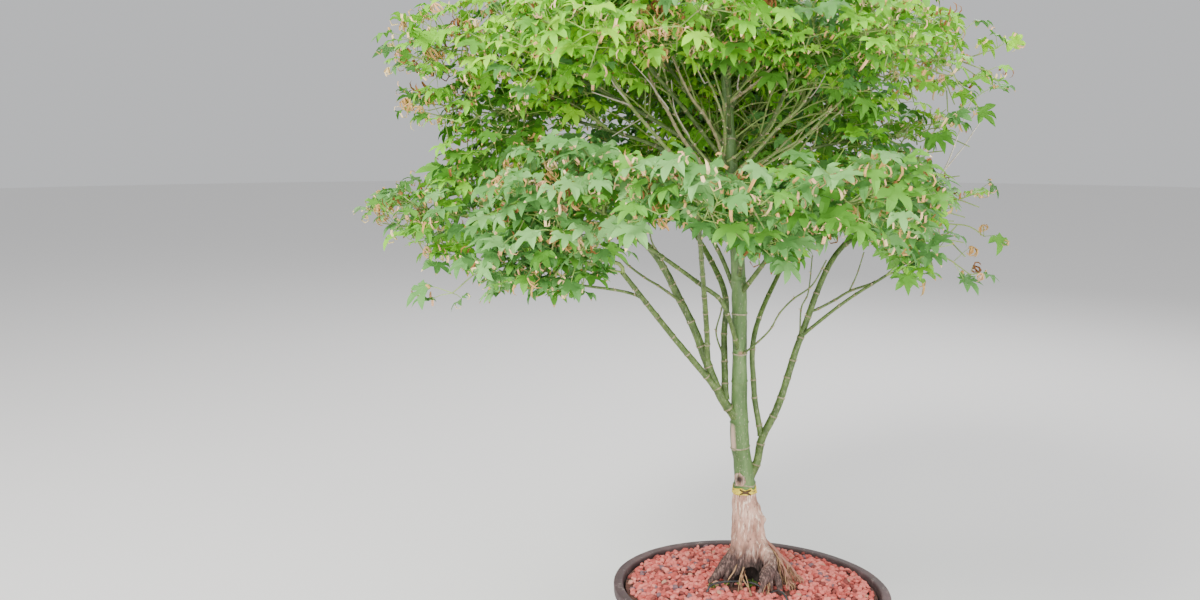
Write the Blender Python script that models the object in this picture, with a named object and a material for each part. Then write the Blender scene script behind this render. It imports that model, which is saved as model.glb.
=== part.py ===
"""Japanese maple bonsai in an oval pot: pot, soil, trunk, boughs and masses of leaves.

Metres, +Z up. The origin is the centre of the pot's flat underside, +X runs along the
pot's long side to the viewer's right and +Y away from the viewer.
"""

import math
import random

import bmesh
import bpy
from mathutils import Matrix, Vector

# Driving dimensions
GAP = 0.0003
LIMB_GAP = 0.00035
SAME_POINT = 0.0000005

POT_LENGTH = 0.350
POT_DEPTH = 0.280
POT_HEIGHT = 0.100
POT_SEGMENTS = 36
LIP_HEIGHT = 0.0125
LIP_WIDTH = 0.012
WALL_HEIGHT = POT_HEIGHT - LIP_HEIGHT - 0.0015
FLOOR_TOP = 0.011
FLOOR_INSET = 0.046
BASE_INSET = 0.040
DRAIN_RADIUS = 0.0085
DRAIN_OFFSET = 0.070
DRAIN_SEGMENTS = 12

# Inside of the pot's wall at two levels: inset from the rim's edge, and height
INNER_FOOT = (BASE_INSET - 0.016, 0.035)
INNER_SHOULDER = (LIP_WIDTH + 0.004, 0.070)

SOIL_CLEARANCE = 0.0008
SOIL_EDGE = (LIP_WIDTH + 0.003, 0.090)
SOIL_SLOPE = (LIP_WIDTH + 0.022, 0.094)
SOIL_CROWN_HEIGHT = 0.1037
SOIL_CROWN_DEPTH = 0.124
SOIL_CROWN_WIDTH = 0.1389

GROUND = 0.104
TRUNK_SIDES = 12
TRUNK_Y = 0.0247

# Height above the ground, sideways and backward offset of the centre line, and diameter
TRUNK_STATIONS = (
    (0.000, -0.001, 0.000, 0.066),
    (0.018, -0.002, 0.000, 0.055),
    (0.045, -0.003, 0.000, 0.047),
    (0.073, -0.004, 0.000, 0.042),
    (0.100, -0.009, -0.001, 0.034),
    (0.127, -0.010, -0.001, 0.0255),
    (0.154, -0.013, -0.002, 0.022),
    (0.180, -0.017, -0.002, 0.0235),
    (0.233, -0.019, -0.003, 0.019),
    (0.297, -0.020, -0.004, 0.017),
    (0.361, -0.022, -0.005, 0.0185),
    (0.395, -0.024, -0.005, 0.0165),
    (0.545, -0.037, -0.005, 0.014),
    (0.604, -0.042, -0.004, 0.012),
    (0.662, -0.046, -0.003, 0.0095),
    (0.716, -0.049, -0.002, 0.007),
)

TRUNK_BELOW_GROUND = 0.012
TRUNK_BELOW_SPREAD = 0.002

BAND_LOW = 0.209
BAND_HIGH = 0.221
BAND_THICKNESS = 0.001

# Root name: compass angle from +X, spread from the trunk's axis, start height, thickness
ROOTS = {
    "right_strand": (12, 0.060, 0.050, 0.007),
    "right_back": (48, 0.052, 0.036, 0.010),
    "back": (100, 0.048, 0.030, 0.011),
    "left_back": (150, 0.050, 0.032, 0.011),
    "left": (200, 0.047, 0.026, 0.012),
    "front_left": (245, 0.046, 0.030, 0.011),
    "front_right": (300, 0.054, 0.040, 0.013),
    "right_front": (338, 0.058, 0.038, 0.010),
}
ROOT_SIDES = 6
ROOT_RINGS = 6
ROOT_START = 0.014
# Where a root bends: share of its start height or height above the ground, and share of its spread
ROOT_KNEE = (0.45, 0.52)
ROOT_TOE = (0.004, 0.82)
ROOT_END_DEPTH = 0.006
# A root's radius at its start and how much it loses from ring to ring, as shares of its thickness
ROOT_GIRTH = 0.62
ROOT_TAPER = 0.05

# The dark hollow between two front roots, from the trunk's foot
HOLLOW_PLACE = Vector((0.004, -0.034, 0.004))
HOLLOW_HALF_SIZES = Vector((0.008, 0.012, 0.016))

# Bough name: parent, height at which it leaves it, points it bends through, tip, diameters
BOUGHS = {
    "low_left_bough": ("trunk", 0.310, ((-0.044, 0.010, 0.348), (-0.090, 0.011, 0.456),
                       (-0.155, 0.001, 0.547)), (-0.300, -0.022, 0.566), 0.0118, 0.0060),
    "low_left_outer": ("low_left_bough", 0.352, ((-0.092, -0.019, 0.414), (-0.118, -0.044, 0.453)),
                       (-0.153, -0.099, 0.513), 0.0084, 0.0054),
    "low_left_trailer": ("low_left_outer", 0.450, ((-0.141, -0.066, 0.482),),
                         (-0.208, -0.108, 0.500), 0.0040, 0.0028),
    "low_left_upright": ("low_left_bough", 0.334, ((-0.040, 0.039, 0.412), (-0.044, 0.059, 0.477)),
                         (-0.108, 0.156, 0.572), 0.0092, 0.0058),
    "low_left_inner": ("low_left_bough", 0.386, ((-0.060, -0.010, 0.430), (-0.063, -0.076, 0.503)),
                       (-0.064, -0.195, 0.588), 0.0072, 0.0046),
    "front_bough": ("trunk", 0.396, ((-0.040, -0.022, 0.465), (-0.067, -0.056, 0.495)),
                    (-0.142, -0.158, 0.566), 0.0062, 0.0042),
    "left_mid_bough": ("trunk", 0.462, ((-0.050, 0.030, 0.526), (-0.086, 0.042, 0.568)),
                       (-0.205, 0.045, 0.604), 0.0060, 0.0042),
    "front_low_bough": ("trunk", 0.492, ((-0.018, -0.026, 0.526),),
                        (-0.008, -0.078, 0.548), 0.0056, 0.0040),
    "back_low_bough": ("trunk", 0.480, ((-0.026, 0.112, 0.530),),
                       (-0.030, 0.225, 0.556), 0.0056, 0.0038),
    "low_right_bough": ("trunk", 0.222, ((0.005, 0.025, 0.253), (0.011, 0.026, 0.287),
                        (0.031, 0.029, 0.333), (0.057, 0.044, 0.420), (0.100, 0.070, 0.522)),
                        (0.178, 0.111, 0.564), 0.0108, 0.0056),
    "low_right_inner": ("low_right_bough", 0.285, ((-0.001, 0.038, 0.350), (0.002, 0.058, 0.431)),
                        (0.064, 0.176, 0.549), 0.0078, 0.0050),
    "low_right_fork": ("low_right_bough", 0.417, ((0.106, 0.021, 0.466),),
                       (0.150, 0.000, 0.502), 0.0044, 0.0032),
    "right_mid_bough": ("trunk", 0.470, ((-0.001, -0.006, 0.504), (0.030, -0.060, 0.556)),
                        (0.058, -0.140, 0.584), 0.0062, 0.0042),
    "left_mid_upper": ("trunk", 0.566, ((-0.107, 0.009, 0.644),),
                       (-0.245, 0.009, 0.690), 0.0060, 0.0036),
    "upper_left_bough": ("trunk", 0.602, ((-0.097, 0.000, 0.665),),
                         (-0.240, -0.032, 0.746), 0.0058, 0.0036),
    "upper_front_left_bough": ("trunk", 0.622, ((-0.083, -0.038, 0.688),),
                               (-0.130, -0.136, 0.748), 0.0052, 0.0034),
    "top_left_bough": ("trunk", 0.642, ((-0.070, 0.028, 0.690),),
                       (-0.156, 0.043, 0.804), 0.0056, 0.0034),
    "upper_front_bough": ("trunk", 0.665, ((-0.040, -0.055, 0.716),),
                          (-0.046, -0.140, 0.752), 0.0048, 0.0032),
    "upper_front_right_bough": ("trunk", 0.631, ((0.006, -0.025, 0.676),),
                                (0.029, -0.103, 0.730), 0.0048, 0.0032),
    "top_right_bough": ("trunk", 0.690, ((-0.010, 0.034, 0.756),),
                        (0.020, 0.058, 0.806), 0.0048, 0.0032),
    "upper_right_bough": ("trunk", 0.612, ((0.038, 0.031, 0.694),),
                          (0.100, 0.039, 0.734), 0.0060, 0.0038),
    "right_mid_upper": ("trunk", 0.588, ((0.049, 0.042, 0.645),),
                        (0.122, 0.072, 0.662), 0.0056, 0.0036),
    "upper_back_left_bough": ("trunk", 0.630, ((-0.058, 0.087, 0.676),),
                              (-0.110, 0.155, 0.704), 0.0054, 0.0036),
    "upper_back_bough": ("trunk", 0.672, ((-0.040, 0.100, 0.712),),
                         (-0.048, 0.195, 0.740), 0.0050, 0.0034),
    "upper_back_right_bough": ("trunk", 0.646, ((-0.008, 0.094, 0.684),),
                               (0.034, 0.175, 0.702), 0.0054, 0.0036),
}
BOUGH_SIDES = 5
BOUGH_RING_SPACING = 0.034

# Mass name: limb that carries it, centre, half sizes, number of twig ends
MASSES = {
    "mass_left_tip": ("low_left_bough", (-0.370, -0.034, 0.566), (0.100, 0.090, 0.064), 4),
    "mass_front_left_low": ("low_left_outer", (-0.226, -0.150, 0.531), (0.086, 0.082, 0.060), 4),
    "mass_left_low_back": ("left_mid_bough", (-0.300, 0.075, 0.612), (0.105, 0.100, 0.066), 4),
    "mass_front_left": ("front_bough", (-0.185, -0.210, 0.600), (0.088, 0.085, 0.062), 4),
    "mass_front_centre": ("low_left_inner", (-0.055, -0.262, 0.612), (0.085, 0.085, 0.066), 4),
    "mass_front_right": ("right_mid_bough", (0.078, -0.205, 0.598), (0.085, 0.085, 0.064), 4),
    "mass_front_low": ("front_low_bough", (0.004, -0.125, 0.560), (0.078, 0.070, 0.054), 3),
    "mass_right_low": ("low_right_fork", (0.190, -0.020, 0.545), (0.080, 0.088, 0.058), 4),
    "mass_right_tip": ("low_right_bough", (0.216, 0.135, 0.586), (0.078, 0.085, 0.066), 4),
    "mass_back_left_low": ("low_left_upright", (-0.190, 0.215, 0.592), (0.115, 0.090, 0.072), 4),
    "mass_back_low": ("back_low_bough", (-0.034, 0.300, 0.584), (0.105, 0.090, 0.074), 4),
    "mass_back_right_low": ("low_right_inner", (0.128, 0.240, 0.582), (0.105, 0.090, 0.072), 4),
    "mass_left_mid": ("left_mid_upper", (-0.335, 0.000, 0.690), (0.100, 0.095, 0.068), 4),
    "mass_upper_left": ("upper_left_bough", (-0.330, -0.040, 0.768), (0.104, 0.095, 0.064), 4),
    "mass_upper_front_left": ("upper_front_left_bough", (-0.186, -0.180, 0.766), (0.094, 0.092, 0.064), 4),
    "mass_top_left": ("top_left_bough", (-0.220, 0.050, 0.838), (0.108, 0.105, 0.064), 4),
    "mass_top": ("trunk", (-0.070, 0.005, 0.852), (0.092, 0.105, 0.062), 4),
    "mass_upper_front": ("upper_front_bough", (-0.052, -0.195, 0.794), (0.084, 0.088, 0.062), 4),
    "mass_upper_front_right": ("upper_front_right_bough", (0.080, -0.150, 0.766), (0.088, 0.090, 0.064), 4),
    "mass_top_right": ("top_right_bough", (0.072, 0.056, 0.838), (0.104, 0.105, 0.064), 4),
    "mass_upper_right": ("upper_right_bough", (0.184, 0.040, 0.742), (0.099, 0.095, 0.066), 4),
    "mass_right_mid": ("right_mid_upper", (0.190, 0.085, 0.656), (0.080, 0.090, 0.064), 4),
    "mass_upper_back_left": ("upper_back_left_bough", (-0.196, 0.205, 0.726), (0.110, 0.090, 0.074), 4),
    "mass_upper_back": ("upper_back_bough", (-0.052, 0.275, 0.762), (0.105, 0.085, 0.078), 4),
    "mass_upper_back_right": ("upper_back_right_bough", (0.104, 0.220, 0.726), (0.110, 0.090, 0.074), 4),
}

# Leaves, larger than life because there are fewer of them
LEAF_LENGTH = 0.060
LEAF_THICKNESS = 0.0022
LEAF_DROOP = 0.22
LEAF_REACH = 1.34
LEAF_TRIES = 60
MOST_LEAVES = 9
LEAF_DEALS = 12
LEAF_STATIONS = (0.94, 0.5)
PETIOLE_LENGTH = 0.020
PETIOLE_SUNK = 0.0008
LOBE_ANGLES = (-112, -56, 0, 56, 112)
LOBE_LENGTHS = (0.60, 0.92, 1.00, 0.92, 0.60)
SINUS_LENGTH = 0.34
TWIG_TIP_RADIUS = 0.0020
TWIG_SIDES = 3
TWIG_STEM = 0.008
TWIG_TAPER = 0.8
TWIG_SIDE_GIRTH = 0.85
TWIG_SPREAD = (0.40, 0.60)
TWIG_FLATNESS = 0.9
TWIG_REACH = 1.25
TWIG_CANDIDATES = 120
TREE_AXIS_X = -0.05
NEAR_MASS = 1.5
SPACE_MARGIN = 0.03
LIMB_CLEARANCE = 0.0025
BLADE_CLEARANCE = 0.0015
BLADE_CORE = 0.72


def remove_everything():
    for item in list(bpy.data.objects):
        bpy.data.objects.remove(item, do_unlink=True)


def make_material(name, colour, roughness):
    material = bpy.data.materials.new(name)
    material.use_nodes = True
    shader = material.node_tree.nodes["Principled BSDF"]
    shader.inputs["Base Color"].default_value = (*colour, 1.0)
    shader.inputs["Roughness"].default_value = roughness
    shader.inputs["Metallic"].default_value = 0.0
    return material


def make_object(name, points, faces, material):
    """A new object from world points, placed with its origin at the plant's origin."""
    mesh = bpy.data.meshes.new(name)
    mesh.from_pydata([tuple(point) for point in points], [], faces)
    mesh.materials.append(material)
    mesh.update()
    item = bpy.data.objects.new(name, mesh)
    bpy.context.scene.collection.objects.link(item)
    return item


def put_in_group(item, group):
    bpy.context.scene.collection.objects.unlink(item)
    group.objects.link(item)


def cut_in_triangles(item):
    shape = bmesh.new()
    shape.from_mesh(item.data)
    bmesh.ops.triangulate(shape, faces=shape.faces)
    shape.to_mesh(item.data)
    shape.free()


def apply_boolean(item, operation, solver, cutter=None, group=None):
    """Apply one Boolean to the object, then remove the cutter or the group's objects."""
    modifier = item.modifiers.new(operation.title(), "BOOLEAN")
    modifier.operation = operation
    modifier.solver = solver
    if group is None:
        modifier.object = cutter
    else:
        modifier.operand_type = "COLLECTION"
        modifier.collection = group
    evaluated = item.evaluated_get(bpy.context.evaluated_depsgraph_get())
    result = bpy.data.meshes.new_from_object(evaluated)
    item.modifiers.clear()
    item.data = result
    used = [cutter] if group is None else list(group.objects)
    for other in used:
        bpy.data.objects.remove(other, do_unlink=True)


def is_closed(item):
    """Whether each edge has two faces, also where points that nearly meet are taken as one."""
    shape = bmesh.new()
    shape.from_mesh(item.data)
    closed = all(len(edge.link_faces) == 2 for edge in shape.edges)
    bmesh.ops.remove_doubles(shape, verts=shape.verts, dist=SAME_POINT)
    closed = closed and all(len(edge.link_faces) == 2 for edge in shape.edges)
    shape.free()
    return closed


def keep_main_shell(item):
    """Fill sealed hollows, drop loose scraps so that one shell stays, and cut it in triangles."""
    shape = bmesh.new()
    shape.from_mesh(item.data)
    unseen = set(shape.faces)
    shells = []
    while unseen:
        shell = [unseen.pop()]
        for face in shell:
            for edge in face.edges:
                for other in edge.link_faces:
                    if other in unseen:
                        unseen.remove(other)
                        shell.append(other)
        shells.append(shell)
    shells.sort(key=len, reverse=True)
    for shell in shells[1:]:
        bmesh.ops.delete(shape, geom=shell, context="FACES")
    loose = [point for point in shape.verts if not point.link_faces]
    bmesh.ops.delete(shape, geom=loose, context="VERTS")
    for method in ("BEAUTY", "EAR_CLIP"):
        parted = shape.copy()
        bmesh.ops.triangulate(parted, faces=parted.faces, ngon_method=method)
        parted.to_mesh(item.data)
        parted.free()
        if is_closed(item):
            break
    shape.free()


# Tubes

def smooth_path(controls, count):
    """Points evenly spread on a Catmull-Rom curve through the control points."""
    controls = [Vector(point) for point in controls]
    first = controls[0] * 2 - controls[1]
    last = controls[-1] * 2 - controls[-2]
    padded = [first] + controls + [last]
    fine = []
    steps = 24
    for index in range(len(controls) - 1):
        before, start, end, after = padded[index:index + 4]
        for step in range(steps):
            t = step / steps
            fine.append(0.5 * (2 * start + (end - before) * t
                               + (2 * before - 5 * start + 4 * end - after) * t ** 2
                               + (3 * start - before - 3 * end + after) * t ** 3))
    fine.append(controls[-1])
    lengths = [0.0]
    for index in range(1, len(fine)):
        lengths.append(lengths[-1] + (fine[index] - fine[index - 1]).length)
    path = []
    cursor = 0
    for index in range(count):
        wanted = lengths[-1] * index / (count - 1)
        while cursor < len(fine) - 2 and lengths[cursor + 1] < wanted:
            cursor += 1
        share = (wanted - lengths[cursor]) / (lengths[cursor + 1] - lengths[cursor])
        path.append(fine[cursor].lerp(fine[cursor + 1], share))
    return path


def tube_mesh(path, radii, sides):
    """Rings square to the path, carried along it without twist, with flat end caps."""
    heading = (path[1] - path[0]).normalized()
    across = heading.orthogonal().normalized()
    points = []
    for index, centre in enumerate(path):
        before = path[max(index - 1, 0)]
        after = path[min(index + 1, len(path) - 1)]
        tangent = (after - before).normalized()
        across = (across - tangent * across.dot(tangent)).normalized()
        upward = tangent.cross(across)
        for side in range(sides):
            angle = 2 * math.pi * side / sides
            spoke = across * math.cos(angle) + upward * math.sin(angle)
            points.append(centre + spoke * radii[index])
    faces = [tuple(reversed(range(sides)))]
    for ring in range(len(path) - 1):
        for side in range(sides):
            low = ring * sides
            nearer = low + side
            farther = low + (side + 1) % sides
            faces.append((nearer, farther, farther + sides, nearer + sides))
    faces.append(tuple(range((len(path) - 1) * sides, len(path) * sides)))
    return points, faces


def make_tube(name, path, radii, sides, material):
    points, faces = tube_mesh(path, radii, sides)
    return make_object(name, points, faces, material)


class Limb:
    """A limb's centre line and radii, kept for the pieces that have to clear it."""

    def __init__(self, path, radii, sides):
        self.path = path
        self.radii = radii
        self.sides = sides

    def at_height(self, height):
        """The first point of the centre line at this height."""
        index, share = self.station_at_height(height)
        return self.path[index].lerp(self.path[index + 1], share)

    def station_at_height(self, height):
        """The ring below this height, and how far the height lies towards the next ring."""
        for index in range(len(self.path) - 1):
            low, high = self.path[index].z, self.path[index + 1].z
            if low <= height <= high:
                return index, (height - low) / (high - low)
        raise ValueError("no ring at this height")

    def samples(self, spacing=0.006):
        """Points and radii close together along the limb."""
        for index in range(len(self.path) - 1):
            start, end = self.path[index], self.path[index + 1]
            steps = max(1, round((end - start).length / spacing))
            for step in range(steps):
                share = step / steps
                radius = self.radii[index] * (1 - share) + self.radii[index + 1] * share
                yield start.lerp(end, share), radius


# Pot and soil

def oval_ring(inset, height):
    ring = []
    for index in range(POT_SEGMENTS):
        angle = 2 * math.pi * index / POT_SEGMENTS
        across = (POT_LENGTH / 2 - inset) * math.cos(angle)
        along = (POT_DEPTH / 2 - inset) * math.sin(angle)
        ring.append(Vector((across, along, height)))
    return ring


def oval_solid(name, rings, material):
    """Rings from the outer bottom round to the inside, closed by a flat face at each end."""
    points = [point for ring in rings for point in ring]
    count = POT_SEGMENTS
    faces = [tuple(reversed(range(count)))]
    for level in range(len(rings) - 1):
        for index in range(count):
            nearer = level * count + index
            farther = level * count + (index + 1) % count
            faces.append((nearer, farther, farther + count, nearer + count))
    faces.append(tuple(range((len(rings) - 1) * count, len(rings) * count)))
    return make_object(name, points, faces, material)


def make_pot(material):
    profile = [
        (BASE_INSET, 0.0),
        (BASE_INSET - 0.002, 0.009),
        (BASE_INSET - 0.005, 0.011),
        (BASE_INSET - 0.021, 0.045),
        (0.009, WALL_HEIGHT),
        (0.0, WALL_HEIGHT),
        (0.0, POT_HEIGHT - 0.002),
        (0.002, POT_HEIGHT),
        (LIP_WIDTH, POT_HEIGHT),
        INNER_SHOULDER,
        INNER_FOOT,
        (FLOOR_INSET, FLOOR_TOP),
    ]
    pot = oval_solid("pot", [oval_ring(inset, height) for inset, height in profile], material)
    for side in (-1, 1):
        bpy.ops.mesh.primitive_cylinder_add(
            vertices=DRAIN_SEGMENTS, radius=DRAIN_RADIUS, depth=4 * FLOOR_TOP,
            location=(side * DRAIN_OFFSET, 0, FLOOR_TOP / 2))
        apply_boolean(pot, "DIFFERENCE", "EXACT", cutter=bpy.context.object)
    return pot


def make_soil(material):
    """The pot's filling, just clear of its inside, rising to a flat crown round the trunk."""
    clear = SOIL_CLEARANCE
    rings = [
        oval_ring(FLOOR_INSET + clear, FLOOR_TOP + GAP),
        oval_ring(INNER_FOOT[0] + clear, INNER_FOOT[1]),
        oval_ring(INNER_SHOULDER[0] + clear, INNER_SHOULDER[1]),
        oval_ring(*SOIL_EDGE),
        oval_ring(*SOIL_SLOPE),
    ]
    crown = []
    for index in range(POT_SEGMENTS):
        angle = 2 * math.pi * index / POT_SEGMENTS
        across = SOIL_CROWN_WIDTH / 2 * math.cos(angle)
        along = SOIL_CROWN_DEPTH / 2 * math.sin(angle)
        crown.append(Vector((across, TRUNK_Y + along, SOIL_CROWN_HEIGHT)))
    rings.append(crown)
    return oval_solid("soil", rings, material)


# Trunk

def trunk_limb():
    path = [Vector((x, TRUNK_Y + y, GROUND + height)) for height, x, y, width in TRUNK_STATIONS]
    radii = [width / 2 for height, x, y, width in TRUNK_STATIONS]
    return Limb(path, radii, TRUNK_SIDES)


def stem_mesh(limb):
    """The trunk's tube, carried on a little below the ground, where it is then cut."""
    below = limb.path[0] - Vector((0, 0, TRUNK_BELOW_GROUND))
    radii = [limb.radii[0] + TRUNK_BELOW_SPREAD] + limb.radii
    return tube_mesh([below] + limb.path, radii, limb.sides)


def root_tube(name, foot, material):
    """A surface root that leaves the trunk above the ground and dips into it at its end."""
    compass, spread, start_height, thickness = ROOTS[name]
    angle = math.radians(compass)
    outward = Vector((math.cos(angle), math.sin(angle), 0))
    controls = [
        foot + Vector((0, 0, start_height)) + outward * ROOT_START,
        foot + Vector((0, 0, start_height * ROOT_KNEE[0])) + outward * spread * ROOT_KNEE[1],
        foot + Vector((0, 0, ROOT_TOE[0])) + outward * spread * ROOT_TOE[1],
        foot + Vector((0, 0, -ROOT_END_DEPTH)) + outward * spread,
    ]
    path = smooth_path(controls, ROOT_RINGS)
    radii = [thickness * (ROOT_GIRTH - ROOT_TAPER * index) for index in range(ROOT_RINGS)]
    return make_tube(name, path, radii, ROOT_SIDES, material)


def make_trunk(limb, material):
    """The tapered stem with its surface roots fused on, cut flat at ground level."""
    points, faces = stem_mesh(limb)
    stem = make_object("trunk", points, faces, material)
    group = bpy.data.collections.new("surface_roots")
    bpy.context.scene.collection.children.link(group)
    foot = limb.path[0]
    for name in ROOTS:
        put_in_group(root_tube(name, foot, material), group)
    apply_boolean(stem, "UNION", "MANIFOLD", group=group)
    bpy.ops.mesh.primitive_uv_sphere_add(segments=10, ring_count=6, radius=1)
    hollow = bpy.context.object
    hollow.data.transform(Matrix.LocRotScale(foot + HOLLOW_PLACE, None, HOLLOW_HALF_SIZES))
    apply_boolean(stem, "DIFFERENCE", "MANIFOLD", cutter=hollow)
    block = POT_LENGTH
    bpy.ops.mesh.primitive_cube_add(size=block, location=(0, 0, GROUND - block / 2))
    apply_boolean(stem, "DIFFERENCE", "MANIFOLD", cutter=bpy.context.object)
    keep_main_shell(stem)
    return stem


def make_graft_band(limb, material):
    """The strip of tape left round the graft: a thin sleeve just clear of the bark's faces."""
    sides = limb.sides
    bark, faces = stem_mesh(limb)
    points = []
    for height, thickness in ((BAND_LOW, BAND_THICKNESS), (BAND_HIGH, BAND_THICKNESS),
                              (BAND_HIGH, 0.0), (BAND_LOW, 0.0)):
        centre = limb.at_height(height)
        station, share = limb.station_at_height(height)
        for side in range(sides):
            lower = bark[(station + 1) * sides + side]
            upper = bark[(station + 2) * sides + side]
            surface = lower.lerp(upper, share)
            outward = surface - centre
            outward.z = 0
            points.append(surface + outward.normalized() * (LIMB_GAP + thickness))
    faces = []
    for ring in range(4):
        for side in range(sides):
            near, far = side, (side + 1) % sides
            low, high = ring * sides, (ring + 1) % 4 * sides
            faces.append((low + near, low + far, high + far, high + near))
    return make_object("graft_band", points, faces, material)


# Boughs

def bough_limb(spec, limbs):
    parent, height, bends, tip, base_width, tip_width = spec
    controls = [limbs[parent].at_height(height), *bends, tip]
    length = sum((Vector(b) - Vector(a)).length for a, b in zip(controls, controls[1:]))
    count = max(4, round(length / BOUGH_RING_SPACING) + 1)
    path = smooth_path(controls, count)
    radii = [(base_width + (tip_width - base_width) * i / (count - 1)) / 2 for i in range(count)]
    return Limb(path, radii, BOUGH_SIDES)


def make_bough(name, limb, parent, material):
    """A tapering tube, cut back to lie just clear of the limb that it grows from."""
    bough = make_tube(name, limb.path, limb.radii, limb.sides, material)
    wider = [radius + LIMB_GAP for radius in parent.radii]
    cutter = make_tube("parent_clearance", parent.path, wider, parent.sides, material)
    apply_boolean(bough, "DIFFERENCE", "EXACT", cutter=cutter)
    keep_main_shell(bough)
    return bough


# Masses of leaves

def scaled_distance(mass, point):
    carrier, centre, half, ends = MASSES[mass]
    return math.sqrt(sum(((point[i] - centre[i]) / half[i]) ** 2 for i in range(3)))


def in_own_space(mass, point, reach=1.0):
    """Inside the mass's ellipsoid, and nearer to it than to any other by a margin."""
    own = scaled_distance(mass, point)
    if own > reach:
        return False
    return all(scaled_distance(other, point) > own + SPACE_MARGIN for other in MASSES if other != mass)


def twig_ends(mass, rng):
    """Ends spread evenly over the mass: each new one is the candidate farthest from the rest."""
    carrier, centre, half, wanted = MASSES[mass]
    candidates = []
    count = TWIG_CANDIDATES
    for index in range(count):
        height = 1 - 2 * (index + 0.5) / count
        ring = math.sqrt(1 - height ** 2)
        angle = index * math.pi * (3 - math.sqrt(5)) + rng.uniform(-0.1, 0.1)
        reach = rng.uniform(*TWIG_SPREAD)
        unit = Vector((ring * math.cos(angle), ring * math.sin(angle), height * TWIG_FLATNESS))
        point = Vector([centre[i] + unit[i] * half[i] * reach for i in range(3)])
        if in_own_space(mass, point):
            candidates.append(point)
    outward = Vector(centre) - Vector((TREE_AXIS_X, 0.0, centre[2]))
    chosen = [max(candidates, key=lambda point: point.dot(outward))]
    while len(chosen) < min(wanted, len(candidates)):
        chosen.append(max(candidates, key=lambda point: min((point - other).length for other in chosen)))
    return chosen


def split_ends(ends):
    """Two groups, parted across the direction in which the ends spread most."""
    middle = sum(ends, Vector()) / len(ends)
    farthest = max(ends, key=lambda point: (point - middle).length)
    axis = farthest - middle
    ordered = sorted(ends, key=lambda point: (point - middle).dot(axis))
    half = len(ordered) // 2
    return ordered[half:], ordered[:half]


def grow(path, radii, ends, total, stem_radius, twigs):
    """Carry a twig on to a fork, where one group of ends stays with it and one leaves it."""
    if len(ends) == 1:
        path.append(ends[0])
        radii.append(TWIG_TIP_RADIUS)
        twigs.append((path, radii))
        return
    middle = sum(ends, Vector()) / len(ends)
    fork = path[-1].lerp(middle, 0.5)
    share = math.sqrt(len(ends) / total)
    radius = TWIG_TIP_RADIUS + (stem_radius - TWIG_TIP_RADIUS) * share * TWIG_TAPER
    path.append(fork)
    radii.append(radius)
    staying, leaving = split_ends(ends)
    side_path, side_radii = [fork], [radius * TWIG_SIDE_GIRTH]
    grow(side_path, side_radii, leaving, total, stem_radius, twigs)
    grow(path, radii, staying, total, stem_radius, twigs)


def leaf_mesh(place):
    """A five-lobed blade on a stalk, drooping from its middle, with the stalk's foot at the origin."""
    hub = PETIOLE_LENGTH
    length = LEAF_LENGTH

    def polar(angle, distance, height):
        turn = math.radians(angle)
        return Vector((math.sin(turn) * distance, hub + math.cos(turn) * distance, height))

    outline = [Vector((0, -PETIOLE_SUNK, 0)), polar(-145, 0.12 * length, 0)]
    for index, (angle, size) in enumerate(zip(LOBE_ANGLES, LOBE_LENGTHS)):
        outline.append(polar(angle, size * length, -LEAF_DROOP * length * size ** 2))
        if index < len(LOBE_ANGLES) - 1:
            between = (angle + LOBE_ANGLES[index + 1]) / 2
            outline.append(polar(between, SINUS_LENGTH * length, -0.02 * length))
    outline.append(polar(145, 0.12 * length, 0))
    points = outline + [Vector((0, hub, LEAF_THICKNESS * 0.7)), Vector((0, hub, -LEAF_THICKNESS * 0.3))]
    top, bottom = len(outline), len(outline) + 1
    faces = []
    for index in range(len(outline)):
        following = (index + 1) % len(outline)
        faces.append((following, index, top))
        faces.append((index, following, bottom))
    return [place @ point for point in points], faces


def leaf_place(foot, outward, turn, droop, size):
    """A leaf's placing: its foot, the way its stalk points, and how far it hangs."""
    level = Vector((outward.x, outward.y, 0)).normalized()
    heading = Matrix.Rotation(turn, 3, "Z") @ level
    side = heading.cross(Vector((0, 0, 1)))
    pointing = (Matrix.Rotation(-droop, 3, side) @ heading).normalized()
    above = side.cross(pointing).normalized()
    frame = Matrix((side, pointing, above)).transposed().to_4x4()
    return Matrix.Translation(foot) @ frame @ Matrix.Scale(size, 4)


def leaf_checks(place):
    """Points over the blade: its outline, its hub and half way between."""
    points, faces = leaf_mesh(place)
    middle = place @ Vector((0, PETIOLE_LENGTH, 0))
    return points[1:] + [point.lerp(middle, 0.5) for point in points[1:-2]]


def blade_meets(place, point, clear, core=1.0):
    """Whether a point lies closer than this to a blade, taken as a shallow cone."""
    local = place.inverted() @ point
    across = math.hypot(local.x, local.y - PETIOLE_LENGTH)
    hang = LEAF_DROOP * LEAF_LENGTH * min(1.0, across / LEAF_LENGTH) ** 2
    return across < LEAF_LENGTH * core + clear and abs(local.z + hang) < clear


def leaf_fits(mass, place, limb_samples, others):
    checks = leaf_checks(place)
    if not all(in_own_space(mass, point, LEAF_REACH) for point in checks):
        return False
    if any(blade_meets(place, point, radius + LIMB_CLEARANCE) for point, radius in limb_samples):
        return False
    for other in others:
        if any(blade_meets(other, point, BLADE_CLEARANCE, BLADE_CORE) for point in checks):
            return False
        if any(blade_meets(place, point, BLADE_CLEARANCE, BLADE_CORE) for point in leaf_checks(other)):
            return False
    return True


def twig_fits(mass, start, end, limb_samples):
    steps = max(2, round((end - start).length / 0.006))
    for step in range(1, steps + 1):
        point = start.lerp(end, step / steps)
        if not in_own_space(mass, point, TWIG_REACH):
            return False
        for other, radius in limb_samples:
            if (other - point).length < radius + LIMB_CLEARANCE + 0.002:
                return False
    return True


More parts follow.
